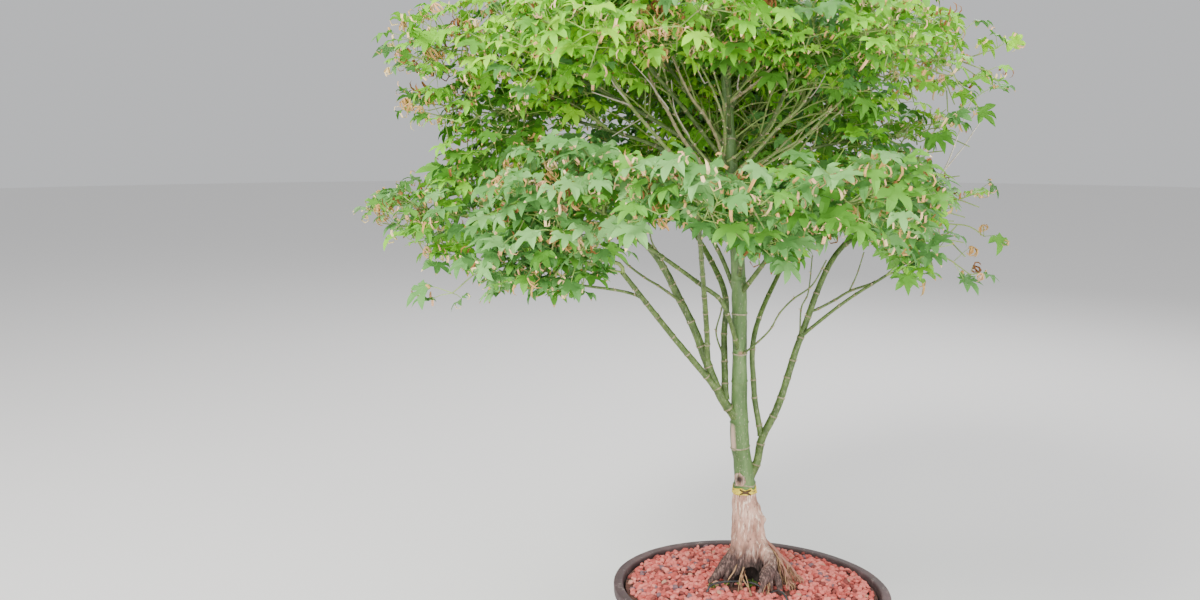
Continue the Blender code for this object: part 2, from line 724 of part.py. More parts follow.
def place_leaf(mass, foot, outward, side, rng, limb_samples, others):
    """The placing, of several tried, that fits and lies farthest from the mass's other leaves."""
    best = None
    best_room = -1.0
    for attempt in range(LEAF_TRIES):
        turn = side * math.radians(rng.uniform(15, 125))
        droop = math.radians(rng.uniform(5, 72))
        place = leaf_place(foot, outward, turn, droop, rng.uniform(0.86, 1.04))
        hub = place @ Vector((0, PETIOLE_LENGTH, 0))
        room = min([(hub - other @ Vector((0, PETIOLE_LENGTH, 0))).length for other in others] or [1.0])
        if room > best_room and leaf_fits(mass, place, limb_samples, others):
            best = place
            best_room = room
    return best


def kept_twigs(mass, foot, twigs, limb_samples):
    """The twigs as far as they keep to the mass's space, clear of limbs, stem first."""
    kept = []
    nodes = [foot]
    for path, radii in reversed(twigs):
        if path[0] not in nodes:
            continue
        keep = 2 if path[0] == foot else 1
        while keep < len(path) and twig_fits(mass, path[keep - 1], path[keep], limb_samples):
            keep += 1
        if keep > 1:
            kept.append((path[:keep], radii[:keep]))
            nodes.extend(path[1:keep])
    return kept


def fuse_mass(mass, foot, twigs, limb_samples, rng, material):
    """Fuse the twigs with leaves in pairs at their ends and nodes."""
    centre = Vector(MASSES[mass][1])
    group = bpy.data.collections.new(mass + "_parts")
    bpy.context.scene.collection.children.link(group)
    placed = []
    for path, radii in twigs:
        start, before, end = path[0], path[-2], path[-1]
        if start == foot:
            stem = make_tube(mass, path, radii, TWIG_SIDES, material)
            cut_in_triangles(stem)
        else:
            sunk = start - (path[1] - start).normalized() * radii[0] * 0.6
            twig = make_tube("twig", [sunk] + path[1:], radii, TWIG_SIDES, material)
            cut_in_triangles(twig)
            put_in_group(twig, group)
        outward = (end - before).normalized() + (end - centre).normalized() * 0.6
        for share in LEAF_STATIONS:
            for side in (-1, 1):
                node = before.lerp(end, share - 0.02 * side)
                place = place_leaf(mass, node, outward, side, rng, limb_samples, placed)
                if place is None or len(placed) == MOST_LEAVES:
                    continue
                placed.append(place)
                points, faces = leaf_mesh(place)
                put_in_group(make_object("leaf", points, faces, material), group)
    apply_boolean(stem, "UNION", "MANIFOLD", group=group)
    bpy.data.collections.remove(group)
    keep_main_shell(stem)
    return stem


def make_mass(mass, limbs, material):
    """Twigs from one stem with their leaves, dealt again where the fused solid isn't closed."""
    carrier, centre, half, wanted = MASSES[mass]
    limb = limbs[carrier]
    heading = (limb.path[-1] - limb.path[-2]).normalized()
    foot = limb.path[-1] + heading * GAP
    stem_radius = limb.radii[-1] * 0.95
    limb_samples = [(limb.path[-1], limb.radii[-1])]
    for other in limbs.values():
        limb_samples += [pair for pair in other.samples() if scaled_distance(mass, pair[0]) < NEAR_MASS]
    beyond_foot = [pair for pair in limb_samples if (pair[0] - limb.path[-1]).length > 0.012]
    twigs = []
    grow([foot, foot + heading * TWIG_STEM], [stem_radius, stem_radius * 0.92],
         twig_ends(mass, random.Random(mass)), wanted, stem_radius, twigs)
    twigs = kept_twigs(mass, foot, twigs, beyond_foot)
    for deal in range(LEAF_DEALS):
        rng = random.Random(f"{mass} leaves {deal}")
        item = fuse_mass(mass, foot, twigs, limb_samples, rng, material)
        if is_closed(item):
            return item
        bpy.data.objects.remove(item, do_unlink=True)
    raise ValueError(mass + " is not closed")


def smooth_shade(item, degrees=35):
    item.data.shade_smooth()
    item.data.set_sharp_from_angle(angle=math.radians(degrees))


def main():
    remove_everything()
    clay = make_material("dark_unglazed_clay", (0.060, 0.045, 0.038), 0.75)
    lava = make_material("red_lava_gravel", (0.42, 0.13, 0.09), 0.95)
    bark = make_material("grey_green_bark", (0.19, 0.20, 0.09), 0.75)
    young_bark = make_material("green_young_bark", (0.16, 0.24, 0.06), 0.55)
    tape = make_material("yellow_graft_tape", (0.72, 0.52, 0.05), 0.50)
    foliage = make_material("green_leaves", (0.11, 0.27, 0.07), 0.55)

    smooth_shade(make_pot(clay))
    smooth_shade(make_soil(lava))
    limbs = {"trunk": trunk_limb()}
    for name, spec in BOUGHS.items():
        limbs[name] = bough_limb(spec, limbs)
    smooth_shade(make_trunk(limbs["trunk"], bark))
    make_graft_band(limbs["trunk"], tape)
    for name, spec in BOUGHS.items():
        smooth_shade(make_bough(name, limbs[name], limbs[spec[0]], young_bark))
    for mass in MASSES:
        make_mass(mass, limbs, foliage)


main()
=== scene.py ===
"""Japanese maple bonsai: the finish of its pot, gravel, bark, twigs and leaves, around the fixed frame.

Metres, +Z up, in the frame's own coordinates: the origin is the centre of the pot's flat underside.
"""

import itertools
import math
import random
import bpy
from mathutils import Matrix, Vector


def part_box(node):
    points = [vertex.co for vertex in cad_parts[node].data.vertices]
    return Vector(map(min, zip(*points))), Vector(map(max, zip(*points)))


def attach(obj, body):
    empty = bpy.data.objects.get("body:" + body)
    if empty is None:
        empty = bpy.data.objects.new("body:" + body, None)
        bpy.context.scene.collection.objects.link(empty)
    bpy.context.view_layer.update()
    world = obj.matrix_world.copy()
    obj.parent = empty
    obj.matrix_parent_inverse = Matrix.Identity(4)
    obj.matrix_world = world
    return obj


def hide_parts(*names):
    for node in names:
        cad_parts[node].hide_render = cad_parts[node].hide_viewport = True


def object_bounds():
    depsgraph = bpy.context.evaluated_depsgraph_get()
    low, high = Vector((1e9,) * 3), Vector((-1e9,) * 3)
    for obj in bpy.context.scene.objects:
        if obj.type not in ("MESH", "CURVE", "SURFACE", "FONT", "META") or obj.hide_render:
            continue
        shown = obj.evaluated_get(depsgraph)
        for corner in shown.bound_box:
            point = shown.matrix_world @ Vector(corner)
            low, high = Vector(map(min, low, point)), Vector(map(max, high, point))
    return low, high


bl_info = {
    "name": "Japanese maple bonsai",
    "version": (1, 0, 0),
    "blender": (4, 5, 0),
    "location": "View3D > Sidebar > Bonsai",
    "description": "Dresses a potted Japanese maple bonsai with bark, twigs, leaves and gravel",
    "category": "Add Mesh",
}

import bpy
import numpy as np
from mathutils import Matrix, Vector, noise

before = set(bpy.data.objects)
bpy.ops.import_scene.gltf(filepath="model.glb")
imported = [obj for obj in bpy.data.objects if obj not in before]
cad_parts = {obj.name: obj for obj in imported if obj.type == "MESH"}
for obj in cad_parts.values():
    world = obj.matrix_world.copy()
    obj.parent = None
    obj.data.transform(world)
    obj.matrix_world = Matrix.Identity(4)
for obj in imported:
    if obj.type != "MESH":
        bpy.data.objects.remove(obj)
CAD_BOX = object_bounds()
# How far the leaves may reach: a little past the solids' box
LEAF_BOUNDS = (np.array(CAD_BOX[0]) - 0.008, np.array(CAD_BOX[1]) + np.array((0.010, 0.010, 0.020)))


def metres(value):
    """The same number, tuple or table, its lengths turned from millimetres to metres."""
    if isinstance(value, dict):
        return {name: metres(part) for name, part in value.items()}
    if isinstance(value, tuple):
        return tuple(metres(part) for part in value)
    return value if isinstance(value, str) else round(value / 1000, 7)


# The tree's own dimensions, as its solids have them: the ground's height and the trunk's place
GROUND = 0.104
TRUNK_Y = 0.0247

# The trunk in millimetres: height above the ground, offset to the right and backwards, and diameter
TRUNK_STATIONS = metres(((0, -1, 0, 66), (18, -2, 0, 55), (45, -3, 0, 47), (73, -4, 0, 42),
    (100, -9, -1, 34), (127, -10, -1, 25.5), (154, -13, -2, 22), (180, -17, -2, 23.5), (233, -19, -3, 19),
    (297, -20, -4, 17), (361, -22, -5, 18.5), (395, -24, -5, 16.5), (545, -37, -5, 14), (604, -42, -4, 12),
    (662, -46, -3, 9.5), (716, -49, -2, 7)))

# Boughs in millimetres: parent, height where it leaves it, diameters, points it runs through to its tip
BOUGHS = metres({
    "low_left_bough": ("trunk", 310, 11.8, 6, ((-44, 10, 348), (-90, 11, 456), (-155, 1, 547),
        (-300, -22, 566))),
    "low_left_outer": ("low_left_bough", 352, 8.4, 5.4, ((-92, -19, 414), (-118, -44, 453),
        (-153, -99, 513))),
    "low_left_trailer": ("low_left_outer", 450, 4, 2.8, ((-141, -66, 482), (-208, -108, 500))),
    "low_left_upright": ("low_left_bough", 334, 9.2, 5.8, ((-40, 39, 412), (-44, 59, 477),
        (-108, 156, 572))),
    "low_left_inner": ("low_left_bough", 386, 7.2, 4.6, ((-60, -10, 430), (-63, -76, 503),
        (-64, -195, 588))),
    "front_bough": ("trunk", 396, 6.2, 4.2, ((-40, -22, 465), (-67, -56, 495), (-142, -158, 566))),
    "left_mid_bough": ("trunk", 462, 6, 4.2, ((-50, 30, 526), (-86, 42, 568), (-205, 45, 604))),
    "front_low_bough": ("trunk", 492, 5.6, 4, ((-18, -26, 526), (-8, -78, 548))),
    "back_low_bough": ("trunk", 480, 5.6, 3.8, ((-26, 112, 530), (-30, 225, 556))),
    "low_right_bough": ("trunk", 222, 10.8, 5.6, ((5, 25, 253), (11, 26, 287), (31, 29, 333), (57, 44, 420),
        (100, 70, 522), (178, 111, 564))),
    "low_right_inner": ("low_right_bough", 285, 7.8, 5, ((-1, 38, 350), (2, 58, 431), (64, 176, 549))),
    "low_right_fork": ("low_right_bough", 417, 4.4, 3.2, ((106, 21, 466), (150, 0, 502))),
    "right_mid_bough": ("trunk", 470, 6.2, 4.2, ((-1, -6, 504), (30, -60, 556), (58, -140, 584))),
    "left_mid_upper": ("trunk", 566, 6, 3.6, ((-107, 9, 644), (-245, 9, 690))),
    "upper_left_bough": ("trunk", 602, 5.8, 3.6, ((-97, 0, 665), (-240, -32, 746))),
    "upper_front_left_bough": ("trunk", 622, 5.2, 3.4, ((-83, -38, 688), (-130, -136, 748))),
    "top_left_bough": ("trunk", 642, 5.6, 3.4, ((-70, 28, 690), (-156, 43, 804))),
    "upper_front_bough": ("trunk", 665, 4.8, 3.2, ((-40, -55, 716), (-46, -140, 752))),
    "upper_front_right_bough": ("trunk", 631, 4.8, 3.2, ((6, -25, 676), (29, -103, 730))),
    "top_right_bough": ("trunk", 690, 4.8, 3.2, ((-10, 34, 756), (20, 58, 806))),
    "upper_right_bough": ("trunk", 612, 6, 3.8, ((38, 31, 694), (100, 39, 734))),
    "right_mid_upper": ("trunk", 588, 5.6, 3.6, ((49, 42, 645), (122, 72, 662))),
    "upper_back_left_bough": ("trunk", 630, 5.4, 3.6, ((-58, 87, 676), (-110, 155, 704))),
    "upper_back_bough": ("trunk", 672, 5, 3.4, ((-40, 100, 712), (-48, 195, 740))),
    "upper_back_right_bough": ("trunk", 646, 5.4, 3.6, ((-8, 94, 684), (34, 175, 702))),
})

# Masses in millimetres: limb that carries it, centre, half sizes, and the tint of its leaves
MASSES = metres({
    "mass_left_tip": ("low_left_bough", (-370, -34, 566), (100, 90, 64), "low"),
    "mass_front_left_low": ("low_left_outer", (-226, -150, 531), (86, 82, 60), "front"),
    "mass_left_low_back": ("left_mid_bough", (-300, 75, 612), (105, 100, 66), "shade"),
    "mass_front_left": ("front_bough", (-185, -210, 600), (88, 85, 62), "front"),
    "mass_front_centre": ("low_left_inner", (-55, -262, 612), (85, 85, 66), "front"),
    "mass_front_right": ("right_mid_bough", (78, -205, 598), (85, 85, 64), "front"),
    "mass_front_low": ("front_low_bough", (4, -125, 560), (78, 70, 54), "front"),
    "mass_right_low": ("low_right_fork", (190, -20, 545), (80, 88, 58), "low"),
    "mass_right_tip": ("low_right_bough", (216, 135, 586), (78, 85, 66), "low"),
    "mass_back_left_low": ("low_left_upright", (-190, 215, 592), (115, 90, 72), "shade"),
    "mass_back_low": ("back_low_bough", (-34, 300, 584), (105, 90, 74), "shade"),
    "mass_back_right_low": ("low_right_inner", (128, 240, 582), (105, 90, 72), "shade"),
    "mass_left_mid": ("left_mid_upper", (-335, 0, 690), (100, 95, 68), "mid"),
    "mass_upper_left": ("upper_left_bough", (-330, -40, 768), (104, 95, 64), "upper"),
    "mass_upper_front_left": ("upper_front_left_bough", (-186, -180, 766), (94, 92, 64), "upper"),
    "mass_top_left": ("top_left_bough", (-220, 50, 838), (108, 105, 64), "top"),
    "mass_top": ("trunk", (-70, 5, 852), (92, 105, 62), "top"),
    "mass_upper_front": ("upper_front_bough", (-52, -195, 794), (84, 88, 62), "upper"),
    "mass_upper_front_right": ("upper_front_right_bough", (80, -150, 766), (88, 90, 64), "upper"),
    "mass_top_right": ("top_right_bough", (72, 56, 838), (104, 105, 64), "top"),
    "mass_upper_right": ("upper_right_bough", (184, 40, 742), (99, 95, 66), "upper"),
    "mass_right_mid": ("right_mid_upper", (190, 85, 656), (80, 90, 64), "shade"),
    "mass_upper_back_left": ("upper_back_left_bough", (-196, 205, 726), (110, 90, 74), "upper"),
    "mass_upper_back": ("upper_back_bough", (-52, 275, 762), (105, 85, 78), "upper"),
    "mass_upper_back_right": ("upper_back_right_bough", (104, 220, 726), (110, 90, 74), "upper"),
})

# Leaf colours of each tint: name and share
TINTS = {
    "front": (("sea_green", 4), ("pale_sea_green", 4), ("mid_green", 2), ("deep_green", 1)),
    "low": (("sea_green", 3), ("mid_green", 3), ("bright_green", 2), ("pale_sea_green", 1)),
    # Leaves inside the crown: more bright and lime greens than elsewhere, painted light that lifts their
    # shade
    "shade": (("deep_green", 1), ("mid_green", 3), ("sea_green", 2), ("bright_green", 4), ("lime_green", 1)),
    # The left middle mass: many dark greens, painted shade cast by the masses above it
    "mid": (("mid_green", 4), ("deep_green", 4), ("bright_green", 3)),
    # The upper and top tints: many bright and lime greens, painted light falling on and shining through the
    # crown's top leaves
    "upper": (("bright_green", 5), ("lime_green", 3), ("mid_green", 2), ("sea_green", 1)),
    "top": (("lime_green", 4), ("bright_green", 5), ("pale_sea_green", 1), ("mid_green", 1)),
}
LEAF_COLOURS = {
    "sea_green": (0.125, 0.325, 0.078),
    "pale_sea_green": (0.205, 0.440, 0.132),
    "mid_green": (0.135, 0.370, 0.042),
    "deep_green": (0.085, 0.260, 0.025),
    "bright_green": (0.220, 0.570, 0.036),
    "lime_green": (0.340, 0.720, 0.035),
    "dried_tan": (0.600, 0.370, 0.130),
    "dried_pink": (0.740, 0.450, 0.240),
    "dried_cream": (0.900, 0.680, 0.350),
    "dried_brown": (0.270, 0.120, 0.040),
    "leaf_stalk": (0.330, 0.480, 0.110),
}
LEAF_FINISHES = tuple(LEAF_COLOURS)
LEAF_ROUGHNESS = 0.50
DRY_LEAF_ROUGHNESS = 0.80
LEAF_GLOSS = 0.14
DRIED_FINISHES = ("dried_tan", "dried_pink", "dried_cream", "dried_cream", "dried_tan", "dried_brown")

# Patches where many leaves are curled and dry, in millimetres: centre and radius
DRIED_PATCHES = metres({
    "front_left_upper": ((-228, -237, 622), 55),
    "front_left_lower": ((-224, -236, 553), 50),
    "front_middle": ((-92, -267, 624), 40),
    "front_right": ((85, -200, 600), 45),
    "left_tip_upper": ((-440, -80, 590), 65),
    "left_tip_lower": ((-420, -80, 545), 50),
    "upper_left_edge": ((-405, -75, 755), 95),
    "upper_left_low": ((-400, -60, 700), 50),
    "top_left_edge": ((-340, -40, 810), 80),
    "upper_middle": ((-85, -205, 778), 60),
    "upper_right_edge": ((262, 50, 775), 110),
    "top_right_edge": ((250, 30, 830), 80),
    "top_front": ((10, -190, 840), 60),
    "upper_right_tip": ((265, 65, 725), 85),
    "right_edge": ((262, 80, 640), 80),
    "right_low_tip": ((265, 20, 560), 60),
    "back_edge": ((-50, 370, 750), 60),
    "back_right": ((180, 290, 610), 55),
    "back_left": ((-270, 270, 620), 55),
})

# Shares of leaves with curled dry lobes at the crown's rim, nearer its middle and between the masses,
# where a share of the others is dry at the points alone
EDGE_CURLED = 0.64
MIDDLE_CURLED = 0.20
FILL_CURLED = 0.09
FILL_TIPPED = 0.25
# Share of withered leaves among the dry ones in a patch
WITHERED_SHARE = 0.24
# The crown's middle and half widths, seen from above, and the share of them where its rim starts
CROWN_MIDDLE = (-0.090, 0.008)
CROWN_HALF = (0.385, 0.370)
CROWN_RIM = 0.76

# Places where the crown is open: centre, half sizes and the share of leaves found there
CLEARINGS = {
    "heart_before_the_trunk": ((-0.025, -0.205, 0.690), (0.185, 0.170, 0.056), 0.07),
    "airy_lower_right": ((0.262, 0.030, 0.545), (0.080, 0.240, 0.075), 0.05),
    "airy_right_edge": ((0.288, 0.060, 0.635), (0.080, 0.230, 0.060), 0.10),
    "airy_right_side": ((0.240, 0.060, 0.710), (0.115, 0.320, 0.095), 0.38),
    "notch_at_the_left": ((-0.440, -0.020, 0.655), (0.065, 0.140, 0.045), 0.0),
    "hollow_beside_the_trunk": ((0.050, -0.030, 0.690), (0.070, 0.060, 0.036), 0.25),
}

# The crown's underside, on an upright plane through the front leaves: place across, and the lowest
# height at which leaves hang there, in millimetres, and how ragged that edge is
UNDERSIDE_PLANE_Y = -0.26
UNDERSIDE = metres(((-398, 579), (-355, 570), (-340, 554), (-304, 543), (-274, 531), (-254, 514),
    (-219, 517), (-198, 511), (-166, 512), (-148, 538), (-137, 548), (-121, 577), (-106, 592), (-68, 589),
    (-38, 572), (-16, 559), (5, 550), (30, 547), (40, 574), (79, 578), (106, 575), (118, 545), (144, 538),
    (161, 542), (192, 541), (199, 578), (220, 582)))
UNDERSIDE_STRAY = 0.008

# The crown's domed top: its highest point, its place, how far it has fallen at the reach, and its raggedness
TOP_HEIGHT = CAD_BOX[1][2] + 0.020
TOP_PLACE = (-0.065, 0.020)
TOP_FALL = 0.046
TOP_FALL_REACH = 0.270
TOP_STRAY = 0.012

# Smallest, usual and largest leaf of each tint, against the usual lobe
LEAF_SIZES = {
    "front": (0.72, 1.08, 1.30),
    "low": (0.70, 1.08, 1.25),
    "shade": (0.65, 1.00, 1.20),
    "mid": (0.58, 0.95, 1.18),
    "upper": (0.58, 0.95, 1.18),
    "top": (0.58, 0.95, 1.18),
}
# Least distance between the hubs of two leaves
LEAF_ROOM = {"front": 0.0142, "low": 0.0128, "shade": 0.0115, "mid": 0.0110, "upper": 0.0110, "top": 0.0110}

# Smooth barks: dark, middle and light colour, stretch of the blotches along the height, and their scale
BARKS = {
    "grey_green_bark": ((0.048, 0.098, 0.022), (0.100, 0.190, 0.050), (0.205, 0.310, 0.115), 0.30, 60),
    "tan_ring_bark": ((0.170, 0.150, 0.080), (0.290, 0.255, 0.150), (0.460, 0.410, 0.280), 1, 150),
    "green_young_bark": ((0.036, 0.066, 0.011), (0.076, 0.132, 0.025), (0.150, 0.225, 0.058), 1, 85),
    "bough_ring_bark": ((0.140, 0.120, 0.055), (0.255, 0.220, 0.120), (0.400, 0.340, 0.220), 1, 180),
    "thin_limb_bark": ((0.056, 0.092, 0.020), (0.110, 0.165, 0.042), (0.190, 0.250, 0.080), 1, 110),
    "upper_stem_bark": ((0.150, 0.225, 0.052), (0.250, 0.345, 0.095), (0.350, 0.430, 0.160), 1, 110),
    "upper_stem_brown_bark": ((0.205, 0.170, 0.078), (0.320, 0.290, 0.140), (0.440, 0.390, 0.220), 1, 110),
    "dead_twig_wood": ((0.450, 0.370, 0.280), (0.620, 0.540, 0.440), (0.740, 0.680, 0.590), 1, 160),
}
# Plain finishes of small things: colour, roughness and gloss
PLAIN_FINISHES = {
    "twig_green": ((0.250, 0.345, 0.095), 0.62, 0.35),
    "twig_ring": ((0.430, 0.330, 0.190), 0.62, 0.35),
    "thin_limb_ring": ((0.240, 0.190, 0.105), 0.7, 0.3),
    "upper_stem_ring": ((0.430, 0.330, 0.190), 0.62, 0.35),
    "pale_bud": ((0.620, 0.520, 0.370), 0.7, 0.3),
    "pale_twig_bud": ((0.620, 0.520, 0.370), 0.7, 0.3),
    "root_tan": ((0.390, 0.235, 0.130), 0.8, 0.25),
    "root_red": ((0.330, 0.155, 0.115), 0.7, 0.30),
    "root_dark": ((0.150, 0.080, 0.050), 0.85, 0.20),
    "moss_green": ((0.110, 0.200, 0.030), 0.95, 0.2),
    "moss_dark": ((0.040, 0.090, 0.018), 0.95, 0.2),
    "knot_shadow": ((0.100, 0.060, 0.030), 0.8, 0.3),
}

# The photograph's camera, for a picture 1200 pixels wide
CAMERA_PLACE = (-0.0157, -1.1792, 0.665)
CAMERA_TURN = 8.573
CAMERA_DIP = 9.57
CAMERA_FOCAL_PIXELS = 971
PICTURE_WIDTH = 1200
SENSOR_WIDTH = 36.0


class BonsaiPotSettings(bpy.types.PropertyGroup):
    length: bpy.props.FloatProperty(
        name="Pot length", description="Length of the oval rim", default=0.350, unit="LENGTH")
    depth: bpy.props.FloatProperty(
        name="Pot depth", description="Width of the oval rim, front to back", default=0.280, unit="LENGTH")
    height: bpy.props.FloatProperty(
        name="Pot height", description="Height of the rim above the underside", default=0.100,
        unit="LENGTH")
    clay: bpy.props.FloatVectorProperty(
        name="Clay", description="Colour of the unglazed clay", default=(0.080, 0.048, 0.050),
        subtype="COLOR", min=0.0, max=1.0)


class BonsaiGravelSettings(bpy.types.PropertyGroup):
    spacing: bpy.props.FloatProperty(
        name="Stone spacing", description="Distance between the centres of neighbouring stones",
        default=0.0061, unit="LENGTH")
    stone: bpy.props.FloatProperty(
        name="Stone radius", description="Half the width of a middling stone", default=0.0040,
        unit="LENGTH")


class BonsaiBarkSettings(bpy.types.PropertyGroup):
    relief: bpy.props.FloatProperty(
        name="Bark relief", description="Depth of the fissures low on the trunk", default=0.0017,
        unit="LENGTH")
    node_spacing: bpy.props.FloatProperty(
        name="Node spacing", description="Usual distance between the rings on a bough",
        default=0.034, unit="LENGTH")


class BonsaiLeafSettings(bpy.types.PropertyGroup):
    lobe: bpy.props.FloatProperty(
        name="Lobe length", description="Length of a leaf's middle lobe, from its stalk",
        default=0.0260, unit="LENGTH")
    stalk: bpy.props.FloatProperty(
        name="Stalk length", description="Length of a middling leaf stalk", default=0.022,
        unit="LENGTH")
    twig_ends: bpy.props.IntProperty(
        name="Twig ends", description="Number of shoots in each mass of leaves", default=40)
    tipped: bpy.props.FloatProperty(
        name="Dry tips", description="Share of the outer leaves with dry points on their lobes",
        default=0.55, min=0.0, max=1.0, subtype="FACTOR")
    curled: bpy.props.FloatProperty(
        name="Curled leaves", description="Share of leaves with curled dry lobes in the dry patches",
        default=0.80, min=0.0, max=1.0, subtype="FACTOR")


class BonsaiStageSettings(bpy.types.PropertyGroup):
    floor: bpy.props.FloatVectorProperty(
        name="Floor", description="Colour of the floor", default=(0.86, 0.85, 0.84),
        subtype="COLOR", min=0.0, max=1.0)


# Shared helpers

def deselect_all():
    if bpy.context.object is not None and bpy.context.object.mode != "OBJECT":
        bpy.ops.object.mode_set(mode="OBJECT")
    bpy.ops.object.select_all(action="DESELECT")


def add_item(operator, **settings):
    """Run an operator that adds an object while nothing is selected. Gives the object."""
    deselect_all()
    operator(**settings)
    return bpy.context.object


def make_active(item):
    deselect_all()
    item.select_set(True)
    bpy.context.view_layer.objects.active = item


def apply_place(item):
    make_active(item)
    bpy.ops.object.transform_apply(location=True, rotation=True, scale=True)


def apply_modifier(item, kind, **settings):
    """Add one modifier with these settings and apply it."""
    make_active(item)
    modifier = item.modifiers.new(kind.title(), kind)
    for name, value in settings.items():
        setattr(modifier, name, value)
    bpy.ops.object.modifier_apply(modifier=modifier.name)


def cut_away(item, cutter):
    """Cut the cutter's shape out of an item, and remove the cutter."""
    apply_modifier(item, "BOOLEAN", operation="DIFFERENCE", solver="EXACT", object=cutter)
    bpy.data.objects.remove(cutter, do_unlink=True)


def smooth_by_angle(item, degrees):
    make_active(item)
    bpy.ops.object.shade_smooth_by_angle(angle=math.radians(degrees))


def finish_piece(item, name, replaced=()):
    item.name = name
    item.data.name = name
    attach(item, "root")
    if replaced:
        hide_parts(*replaced)
    return item


def random_vector(rng, *ranges):
    """A vector drawn from a range for each axis in turn."""
    return Vector([rng.uniform(low, high) for low, high in ranges])


class Sheaf:
    """Many small shapes gathered into one mesh, each face with its finish."""

    def __init__(self):
        self.blocks = []
        self.faces = []
        self.finishes = []
        self.count = 0

    def add(self, points, faces, finishes):
        block = np.asarray(points, float).reshape(-1, 3)
        start = self.count
        self.faces.extend([tuple(index + start for index in face) for face in faces])
        if isinstance(finishes, int):
            self.finishes.extend([finishes] * len(faces))
        else:
            self.finishes.extend(finishes)
        self.blocks.append(block)
        self.count += len(block)

    def make(self, name, materials):
        mesh = bpy.data.meshes.new(name)
        mesh.from_pydata(np.concatenate(self.blocks), [], self.faces)
        for material in materials:
            mesh.materials.append(material)
        mesh.polygons.foreach_set("material_index", self.finishes)
        mesh.update()
        item = bpy.data.objects.new(name, mesh)
        bpy.context.scene.collection.objects.link(item)
        return item


# Materials

def new_material(name):
    material = bpy.data.materials.new(name)
    material.use_nodes = True
    return material, material.node_tree, material.node_tree.nodes["Principled BSDF"]


def plain_material(name, colour, roughness, gloss):
    material, _, shader = new_material(name)
    shader.inputs["Base Color"].default_value = (*colour, 1.0)
    shader.inputs["Roughness"].default_value = roughness
    shader.inputs["Specular IOR Level"].default_value = gloss
    return material


def plain_finish(name):
    return plain_material(name, *PLAIN_FINISHES[name])


def noise_pattern(tree, scale, detail, roughness, stretch=1.0):
    """Noise on the object's own coordinates; a stretch under 1 draws it out along the height."""
    place = tree.nodes.new("ShaderNodeTexCoord")
    mapping = tree.nodes.new("ShaderNodeMapping")
    mapping.inputs["Scale"].default_value = (1, 1, stretch)
    tree.links.new(place.outputs["Object"], mapping.inputs["Vector"])
    pattern = tree.nodes.new("ShaderNodeTexNoise")
    pattern.inputs["Scale"].default_value = scale
    pattern.inputs["Detail"].default_value = detail
    pattern.inputs["Roughness"].default_value = roughness
    tree.links.new(mapping.outputs["Vector"], pattern.inputs["Vector"])
    return pattern.outputs["Fac"]


def colour_ramp(tree, source, *stops):
    """Colours by (position, colour) stops that read a pattern."""
    ramp = tree.nodes.new("ShaderNodeValToRGB")
    elements = ramp.color_ramp.elements
    while len(elements) < len(stops):
        elements.new(0.5)
    for element, (position, colour) in zip(elements, stops):
        element.position = position
        element.color = (*colour, 1.0)
    tree.links.new(source, ramp.inputs["Fac"])
    return ramp.outputs["Color"]


def share_ramp(tree, source, *stops):
    """A share by (position, share) stops that read a pattern."""
    return colour_ramp(tree, source, *[(position, (share, share, share)) for position, share in stops])


def plain_colour(tree, colour):
    node = tree.nodes.new("ShaderNodeRGB")
    node.outputs["Color"].default_value = (*colour, 1.0)
    return node.outputs["Color"]


def mix_colours(tree, share, first, second):
    """The first colour turned to the second by a share."""
    mix = tree.nodes.new("ShaderNodeMix")
    mix.data_type = "RGBA"
    tree.links.new(share, mix.inputs["Factor"])
    tree.links.new(first, mix.inputs["A"])
    tree.links.new(second, mix.inputs["B"])
    return mix.outputs["Result"]


def add_bump(tree, shader, height, strength, distance):
    bump = tree.nodes.new("ShaderNodeBump")
    bump.inputs["Strength"].default_value = strength
    bump.inputs["Distance"].default_value = distance
    tree.links.new(height, bump.inputs["Height"])
    tree.links.new(bump.outputs["Normal"], shader.inputs["Normal"])


def range_of(tree, source, low, high, new_low=0.0, new_high=1.0):
    """A value mapped from one range to another."""
    node = tree.nodes.new("ShaderNodeMapRange")
    node.inputs["From Min"].default_value = low
    node.inputs["From Max"].default_value = high
    node.inputs["To Min"].default_value = new_low
    node.inputs["To Max"].default_value = new_high
    tree.links.new(source, node.inputs["Value"])
    return node.outputs["Result"]


def height_above(tree):
    """The height of the shaded point in the object's own coordinates."""
    place = tree.nodes.new("ShaderNodeTexCoord")
    split = tree.nodes.new("ShaderNodeSeparateXYZ")
    tree.links.new(place.outputs["Object"], split.inputs["Vector"])
    return split.outputs["Z"]


def clay_material(colour):
    """Dark unglazed clay: mottled, chalky deposits near the rim and a paler worn lip."""
    material, tree, shader = new_material("dark_unglazed_clay")
    mottle = noise_pattern(tree, 34, 6, 0.65)
    dark = tuple(channel * 0.62 for channel in colour)
    light = tuple(channel * 1.9 + 0.012 for channel in colour)
    body = colour_ramp(tree, mottle, (0.30, dark), (0.52, colour), (0.78, light))
    spots = share_ramp(tree, noise_pattern(tree, 95, 8, 0.75, 0.45), (0.56, 0.0), (0.70, 1.0))
    near_rim = range_of(tree, height_above(tree), 0.070, 0.0995, 0.06, 0.85)
    share = tree.nodes.new("ShaderNodeMath")
    share.operation = "MULTIPLY"
    tree.links.new(spots, share.inputs[0])
    tree.links.new(near_rim, share.inputs[1])
    chalk = plain_colour(tree, (0.34, 0.27, 0.25))
    tree.links.new(mix_colours(tree, share.outputs["Value"], body, chalk), shader.inputs["Base Color"])
    tree.links.new(range_of(tree, mottle, 0.3, 0.8, 0.58, 0.86), shader.inputs["Roughness"])
    add_bump(tree, shader, noise_pattern(tree, 420, 5, 0.7), 0.35, 0.0006)
    return material


